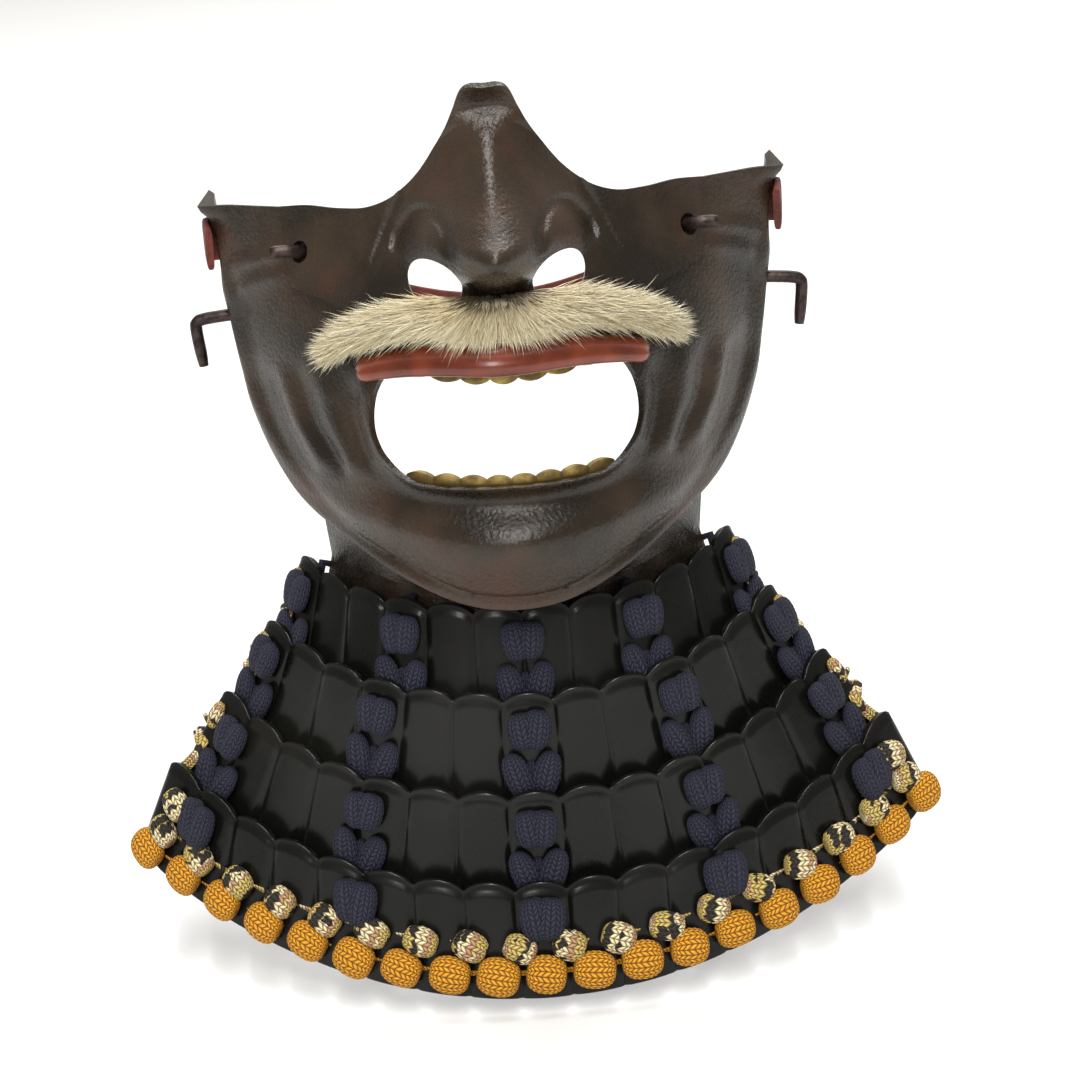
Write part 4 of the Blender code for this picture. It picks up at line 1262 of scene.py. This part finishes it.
knots = {
    "multicolourKnots": {
        "drop": 0.0150,
        "count": 18,
        "size": (0.0098, 0.0084, 0.0056),
        "span": 0.935,
        "turn": 0.5,
        "lower": 0.0012,  # how much lower the row's ends hang
        "climb": 0.0092,  # one more knot stands this far above each end
    },
    "orangeKnots": {
        "drop": 0.0231,
        "count": 19,
        "size": (0.0116, 0.0106, 0.0062),
        "span": 0.960,
        "turn": 0.25,
        "lower": 0.0006,
        "climb": 0,
    },
}
knotCord = {"size": (0.0018, 0.0010), "out": 0.0005, "parts": (48, 30), "plump": 0.62, "endIn": 0.985}


def makeKnots(name, finish, slot, node):
    row = knots[name]
    bm = bmesh.new()
    chance = random.Random(row["count"])
    last = len(throat["lames"]) - 1
    half = throat["lames"][last][0] / 2 * row["span"]
    path = []
    more = 1 if row["climb"] else 0
    for number in range(-more, row["count"] + more):
        share = max(-1, min(1, 2 * number / (row["count"] - 1) - 1))
        ended = number < 0 or number >= row["count"]
        at = half * share * (knotCord["endIn"] if ended else 1)
        drop = row["drop"] + row["lower"] * share ** 4 - row["climb"] * ended
        drop += chance.uniform(-0.0004, 0.0004)
        centre = lamePoint(last, at, drop, lacing["lift"] + row["size"][2] / 2)
        down = lameDown(last, at).normalized()
        direction = lameAlong(last, at) + down * row["turn"] * chance.uniform(0.3, 1.2)
        size = [value * chance.uniform(0.95, 1.05) for value in row["size"]]
        slid = chance.uniform(0, lacing["slide"])
        addLobe(bm, centre, direction, lameNormal(last, at), size, knotCord["parts"], knotCord["plump"], slid)
        path.append(lamePoint(last, at, drop, knotCord["out"]))
    addSweep(bm, path, [knotCord["size"]] * len(path), Vector((0, 0, 1)), lacing["stemSides"])
    finishPiece(newObject(name, bm, finish), slot, node, degrees=80)


makeKnots("multicolourKnots", "mixedBraid", "mixed_braid", "multicolour_knots")
makeKnots("orangeKnots", "orangeBraid", "orange_braid", "orange_knots")

edging = {
    "inset": 0.0034,
    "belowInset": 0.6,  # of the inset, on the lame below
    "rim": 0.0010,
    "stitch": (0.0084, 0.0048, 0.0030),
    "stitchDrop": 0.0058,
    "stitchParts": (28, 20),
    "stitchPlump": 0.7,
    "link": (0.0044, 0.0020),
    "linkParts": 5,
    "drops": (0.0090, 0.0100, 0.0125, 0.0142, 0.0155, 0.0200, 0.0010),
    "outs": (0.0010, 0.0014, 0.0016),
    "back": 0.0012,
    "lastBack": 0.0018,
}


def makeEdging(side, name, node):
    bm = bmesh.new()
    chance = random.Random(5 + side)
    halfway = -throat["wall"] / 2
    back, lastBack = (-(throat["wall"] + edging[key]) for key in ("back", "lastBack"))
    for index in range(len(throat["lames"]) - 1):
        scallops, scallop = throat["lames"][index][:2]
        nextScallops, nextScallop = throat["lames"][index + 1][:2]
        end = side * (scallops / 2 - edging["inset"] / scallop)
        rim = side * (scallops / 2 + edging["rim"] / scallop)
        below = side * (nextScallops / 2 - edging["belowInset"] * edging["inset"] / nextScallop)
        down = lameDown(index, end).normalized()
        centre = lamePoint(index, end, edging["stitchDrop"], edging["stitch"][2] / 2)
        slid = chance.uniform(0, lacing["slide"])
        addLobe(bm, centre, -down, lameNormal(index, end), edging["stitch"], edging["stitchParts"],
            edging["stitchPlump"], slid)
        ats = (end, rim, end, rim, end, end, below)
        outs = edging["outs"]
        outs = (outs[0], halfway, back, halfway, outs[1], outs[2], lastBack)
        lames = (index,) * 6 + (index + 1,)
        link = [lamePoint(*spot) for spot in zip(lames, ats, edging["drops"], outs)]
        dense = curveThrough(link, edging["linkParts"])
        addSweep(bm, dense, [edging["link"]] * len(dense), lameAlong(index, end), lacing["stemSides"])
    finishPiece(newObject(name, bm, "mixedBraid"), "mixed_braid", node, degrees=80)


def curveThrough(points, parts):
    stops = np.arange(len(points))
    at = np.linspace(0, len(points) - 1, (len(points) - 1) * parts + 1)
    table = np.array([tuple(point) for point in points])
    return [Vector(spot) for spot in np.stack([through(stops, table[:, k], at) for k in range(3)], axis=1)]


makeEdging(-1, "edgeLacingLeft", "edge_lacing_left")
makeEdging(1, "edgeLacingRight", "edge_lacing_right")

bends = {  # how far from its bend each point of a rod lies
    "hookBack": (0.0022, 0.0004),
    "hookSide": (0.0008, 0.0026),
    "pegSide": (0.0026, 0.0006),
    "pegDown": (0.0008, 0.0032),
}


def makeRod(name, points, node, head):
    bm = bmesh.new()
    dense = curveThrough(points, 6)
    sizes = []
    for i in range(len(dense)):
        near = max(1 - (len(dense) - 1 - i) / 3, 0)
        sizes.append([2 * hooks["rod"] * (hooks["swell"] - hooks["tip"] * near ** 2)] * 2)
    addSweep(bm, dense, sizes, Vector((0, 1, 0.2)), 20)
    place = turnedTo(dense[0], head) @ Matrix.Diagonal((*hooks["headSize"], 1))
    bmesh.ops.create_uvsphere(bm, u_segments=24, v_segments=12, radius=1, matrix=place)
    finishPiece(newObject(name, bm, "darkIron"), "dark_iron", node)


def makeHooks():
    up = Vector((0, 0, 1))
    for name, side in (("Left", -1), ("Right", 1)):
        sideways = Vector((side, 0, 0))
        root, out = hookSeat(side)
        bend = root + out * hooks["stands"]
        points = [
            root - out * (face["wall"] + hooks["headIn"]),
            root,
            bend - out * bends["hookBack"][0],
            bend - out * bends["hookBack"][1] + sideways * bends["hookSide"][0],
            bend + sideways * bends["hookSide"][1],
            bend + sideways * hooks["reach"],
        ]
        makeRod(f"noseHook{name}", points, f"nose_hook_{name.lower()}", out)
        edge = flangeOut(pegs["back"], pegs["up"])
        head = Vector((side * (edge - face["wall"] - pegs["headIn"]), pegs["back"], pegs["up"]))
        bend = Vector((side * (edge + pegs["reach"]), pegs["back"], pegs["up"] - pegs["lean"]))
        points = [
            head,
            head.lerp(bend, 0.5),
            bend - sideways * bends["pegSide"][0],
            bend - sideways * bends["pegSide"][1] - up * bends["pegDown"][0],
            bend - up * bends["pegDown"][1],
            bend - sideways * pegs["lean"] - up * pegs["drop"],
        ]
        makeRod(f"sidePeg{name}", points, f"side_peg_{name.lower()}", sideways)


makeHooks()

mouth = {
    "lipHalf": 0.0388,
    "lipHeight": 0.0092,
    "lipRise": 0.0046,
    "lipOut": 0.0003,
    "lipUp": 0.0508,
    "lipDrop": 0.0066,
    "lipTaper": 0.30,
    "lipFlatter": 0.25,
    "lipEnd": 0.10,
    "lipGroove": 0.22,
    "lipSquare": 0.85,
    "lipParts": (70, 36),
    "teethHalf": 0.0300,
    "teethIn": 0.0008,
    "show": 0.0022,
    "toothHeight": 0.0066,
    "toothParts": (12, 10),
    "scallop": 0.0014,
    "bulge": 0.0007,
    "wall": 0.0014,
    "rounding": 0.0003,
}


def makeLip():
    bm = bmesh.new()
    points, sizes, acrosses = [], [], []
    parts, sides = mouth["lipParts"]
    for i in range(parts + 1):
        share = 2 * i / parts - 1
        x = share * mouth["lipHalf"]
        z = mouth["lipUp"] - mouth["lipDrop"] * abs(share) ** 2.5
        past = max(abs(share) - 1 + mouth["lipEnd"], 0) / mouth["lipEnd"]
        end = math.sqrt(max(1 - past ** 2, 0.02))
        height = mouth["lipHeight"] * (1 - mouth["lipTaper"] * abs(share) ** 1.5) * end
        rise = mouth["lipRise"] * (1 - mouth["lipFlatter"] * share * share) * end
        points.append(Vector(facePoint(x, z, mouth["lipOut"] + rise / 2)[0]))
        sizes.append((height, rise))
        low, high = facePoint([x, x], [z - 0.001, z + 0.001])
        acrosses.append(Vector(high - low))
    addSweep(bm, points, sizes, acrosses, sides, mouth["lipSquare"], mouth["lipGroove"])
    finishPiece(newObject("upperLip", bm, "vermilion"), "vermilion_lacquer", "upper_lip")


def makeTeeth(name, count, edgeUp, sign, hang, node):
    show = mouth["show"]

    def place(u, v, inside):
        tooth = np.abs(np.sin(np.pi * ((u * count) % 1)))
        curve = 1 - tooth ** 0.7
        tip = edgeUp + sign * (show - mouth["scallop"] * curve + hang * (1 - (2 * u - 1) ** 2))
        root = edgeUp + sign * (show - mouth["toothHeight"])
        bulge = mouth["bulge"] * tooth ** 0.6 * stepBetween(v, 0.1, 0.6)
        out = np.where(inside, -mouth["wall"], bulge) - (face["wall"] + mouth["teethIn"])
        return facePoint(mouth["teethHalf"] * (2 * u - 1), root + (tip - root) * v, out)

    bm = bmesh.new()
    each, rows = mouth["toothParts"]
    wallGrid(bm, count * each, rows, place)
    closeWall(bm, False)
    teeth = newObject(name, bm, "gilding")
    addRounding(teeth, mouth["rounding"])
    finishPiece(teeth, "gilding", node)


makeLip()
makeTeeth("upperTeeth", 7, 0.0475, -1, 0.0014, "upper_teeth")
makeTeeth("lowerTeeth", 8, 0.0170, 1, 0.0004, "lower_teeth")


def makeStrap():
    wall = flangeOut(strap["back"], strap["up"])
    outside = wall + strap["stands"]
    inside = wall - strap["inset"]
    end = strap["end"]
    points = [  # the end outside the left wing: out, back and up
        (-wall - 0.0014, -1.7 * end, -0.001),
        (-outside, -end, 0),
        (-outside - 0.0004, -0.001, 0),
        (-wall, 0.0002, 0),
        (-inside, 0, 0),
    ]
    for i in range(1, strap["parts"]):
        turn = math.pi * i / strap["parts"]
        back, sag = strap["loop"] * math.sin(turn) ** 0.8, strap["sag"] * math.sin(turn) ** 1.6
        points.append((-inside * math.cos(turn), back, -sag))
    points += [(-x, y, z) for x, y, z in reversed(points[:5])]
    seat = Vector((0, strap["back"], strap["up"]))
    dense = curveThrough([seat + Vector(point) for point in points], 8)
    sizes = [(strap["wide"], strap["thick"])] * len(dense)
    bm = bmesh.new()
    addSweep(bm, dense, sizes, Vector((0, 0, 1)), 16, 0.45)
    finishPiece(newObject("headStrap", bm, "redLeather"), "red_leather", "head_strap")


makeStrap()

hair = {
    "half": 0.0395,
    "up": 0.0617,
    "droop": 0.0130,
    "stands": 0.0046,
    "thick": 0.0070,
    "height": 0.0066,
    "strands": 8000,
    "length": 0.0115,
    "radius": 0.00012,
    "fuller": 0.25,  # halfway to the ends
    "rootSize": (0.82, 0.80),
    "middle": 0.13,
    "unruly": 0.13,
    "bend": 0.10,
    "hug": 0.85,  # how far the strands follow the face
    # where the painted shadow of the nose lies across the moustache, and its width
    "noseShadowAt": -0.004,
    "noseShadowWide": 0.009,
    "steps": (0.0, 0.4, 0.75, 1.0),  # along a strand
    "taper": (1.0, 0.9, 0.6),
    "coreSpan": 0.93,
    "coreSize": (0.85, 0.75),
    "coreColour": (0.16, 0.45),  # how near the tips, and which kind of strand; the backing sits nearer the roots, so its darker colour is painted shade of the tuft's inside
}


def hairCore(share):
    return share * hair["half"], hair["up"] - hair["droop"] * np.abs(share) ** 2.2


def makeCore():
    bm = bmesh.new()
    points, sizes = [], []
    for share in np.linspace(-hair["coreSpan"], hair["coreSpan"], 41):
        x, z = hairCore(share)
        body = math.sqrt(max(1 - abs(share) ** 3, 0.03))
        points.append(facePoint(x, z, hair["stands"] + hair["thick"] / 2)[0])
        tall, thick = hair["coreSize"]
        sizes.append((hair["height"] * tall * body, hair["thick"] * thick * body))
    addSweep(bm, points, sizes, Vector((0, 0, 1)), 20)
    uv = surfaceMap(bm)
    for f in bm.faces:
        for loop in f.loops:
            loop[uv].uv = hair["coreColour"]
    core = newObject("moustacheBacking", bm, "paleHair")
    smoothShade(core)
    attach(core, "root")
    return core


def makeHair(name, low, high, seed, count):
    chance = np.random.default_rng(seed)
    share = chance.uniform(low, high, count)
    x, z = hairCore(share)
    around = chance.uniform(-math.pi, math.pi, count)
    depth = np.sqrt(chance.uniform(0.25, 1, count))
    lift = np.sin(around) * depth  # 1 at the top of the moustache
    front = np.cos(around) * depth  # 1 at its front
    aside = np.abs(share)
    body = np.sqrt(np.maximum(1 - aside ** 4, 0.05)) * (1 + hair["fuller"] * np.sin(np.pi * aside))
    tall, thick = hair["rootSize"]
    z = z + lift * hair["height"] / 2 * body * tall
    out = hair["stands"] + hair["thick"] / 2 * (1 + front * body * thick)
    roots = facePoint(x, z, out)
    ahead = np.tanh(share * 7)
    middle = bell(share, hair["middle"])
    fan = lift * (0.12 + 0.35 * aside ** 3) - 0.10 - 0.12 * aside - 0.65 * middle
    fan += chance.normal(0, hair["unruly"], count)
    forward = front * 0.30 + 0.08 + 0.25 * middle + chance.normal(0, hair["bend"], count)
    direction = np.stack([ahead * np.cos(fan), -forward, np.sin(fan)], axis=1)
    probe = 0.002
    slope = (faceBack(x + probe, z) - faceBack(x - probe, z)) / (2 * probe)
    direction[:, 1] += slope * ahead * hair["hug"]
    direction /= np.linalg.norm(direction, axis=1)[:, None]
    length = hair["length"] * chance.uniform(0.65, 1.15, count)
    length *= (1 - 0.25 * aside ** 4) * (1 - 0.42 * middle)
    kind = chance.uniform(0, 1, count) ** 0.8
    # painted shadow of the nose on the upper strands under it: these are made less fair and darker along
    # their length
    dark = bell(x - hair["noseShadowAt"], hair["noseShadowWide"]) * (lift > 0.1)
    kind = kind * (1 - 0.75 * dark)
    bend = chance.normal(0, hair["bend"], (count, 3))
    bend[:, 2] -= hair["bend"]
    sides = 3
    steps = np.array(hair["steps"])
    first = np.cross(direction, (0.3, 0.1, 1.0))
    first /= np.linalg.norm(first, axis=1)[:, None]
    second = np.cross(direction, first)
    rings = []
    for step, taper in zip(steps, hair["taper"]):
        centres = roots + (direction * step + bend * step * step) * length[:, None]
        for k in range(sides):
            turn = 2 * math.pi * k / sides
            spoke = first * math.cos(turn) + second * math.sin(turn)
            rings.append(centres + spoke * hair["radius"] * taper)
    rings.append(roots + (direction + bend) * length[:, None])
    points = np.stack(rings, axis=1)  # strand, point, axis
    each = points.shape[1]
    pattern = [(2, 1, 0)]
    levels = [(0, 0, 0)]
    for ring in range(2):
        for k in range(sides):
            n = (k + 1) % sides
            a, b = ring * sides + k, ring * sides + n
            c, d = b + sides, a + sides
            pattern += [(a, b, c), (a, c, d)]
            levels += [(ring, ring, ring + 1), (ring, ring + 1, ring + 1)]
    for k in range(sides):
        pattern.append((2 * sides + k, 2 * sides + (k + 1) % sides, 3 * sides))
        levels.append((2, 2, 3))
    faces = np.array(pattern)[None] + (np.arange(count) * each)[:, None, None]
    mesh = bpy.data.meshes.new(name)
    mesh.vertices.add(count * each)
    mesh.vertices.foreach_set("co", points.reshape(-1).astype(np.float32))
    corners = faces.reshape(-1).astype(np.int32)
    mesh.loops.add(len(corners))
    mesh.loops.foreach_set("vertex_index", corners)
    mesh.polygons.add(len(corners) // 3)
    mesh.polygons.foreach_set("loop_start", np.arange(0, len(corners), 3, dtype=np.int32))
    mesh.update(calc_edges=True)
    layer = mesh.uv_layers.new(name="surface")
    tips = np.tile(steps[np.array(levels)].reshape(1, -1), (count, 1))
    kinds = np.repeat(kind[:, None], tips.shape[1], axis=1)
    tips = tips * (1 - 0.5 * dark[:, None])
    layer.data.foreach_set("uv", np.stack([tips, kinds], axis=2).reshape(-1).astype(np.float32))
    mesh.materials.append(finishes["paleHair"])
    tuft = bpy.data.objects.new(name, mesh)
    bpy.context.scene.collection.objects.link(tuft)
    return tuft


def makeMoustache():
    core = makeCore()
    tufts = [
        makeHair("moustacheLeft", -1.0, -0.02, 3, hair["strands"]),
        makeHair("moustacheRight", 0.02, 1.0, 4, hair["strands"]),
        makeHair("moustacheMiddle", -0.16, 0.16, 5, hair["strands"] // 4),
    ]
    for tuft in tufts:
        smoothShade(tuft, 180)
        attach(tuft, "root")
        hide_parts("moustache")
        print(tuft.name, len(tuft.data.polygons), "faces")
    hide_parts("moustache")


makeMoustache()
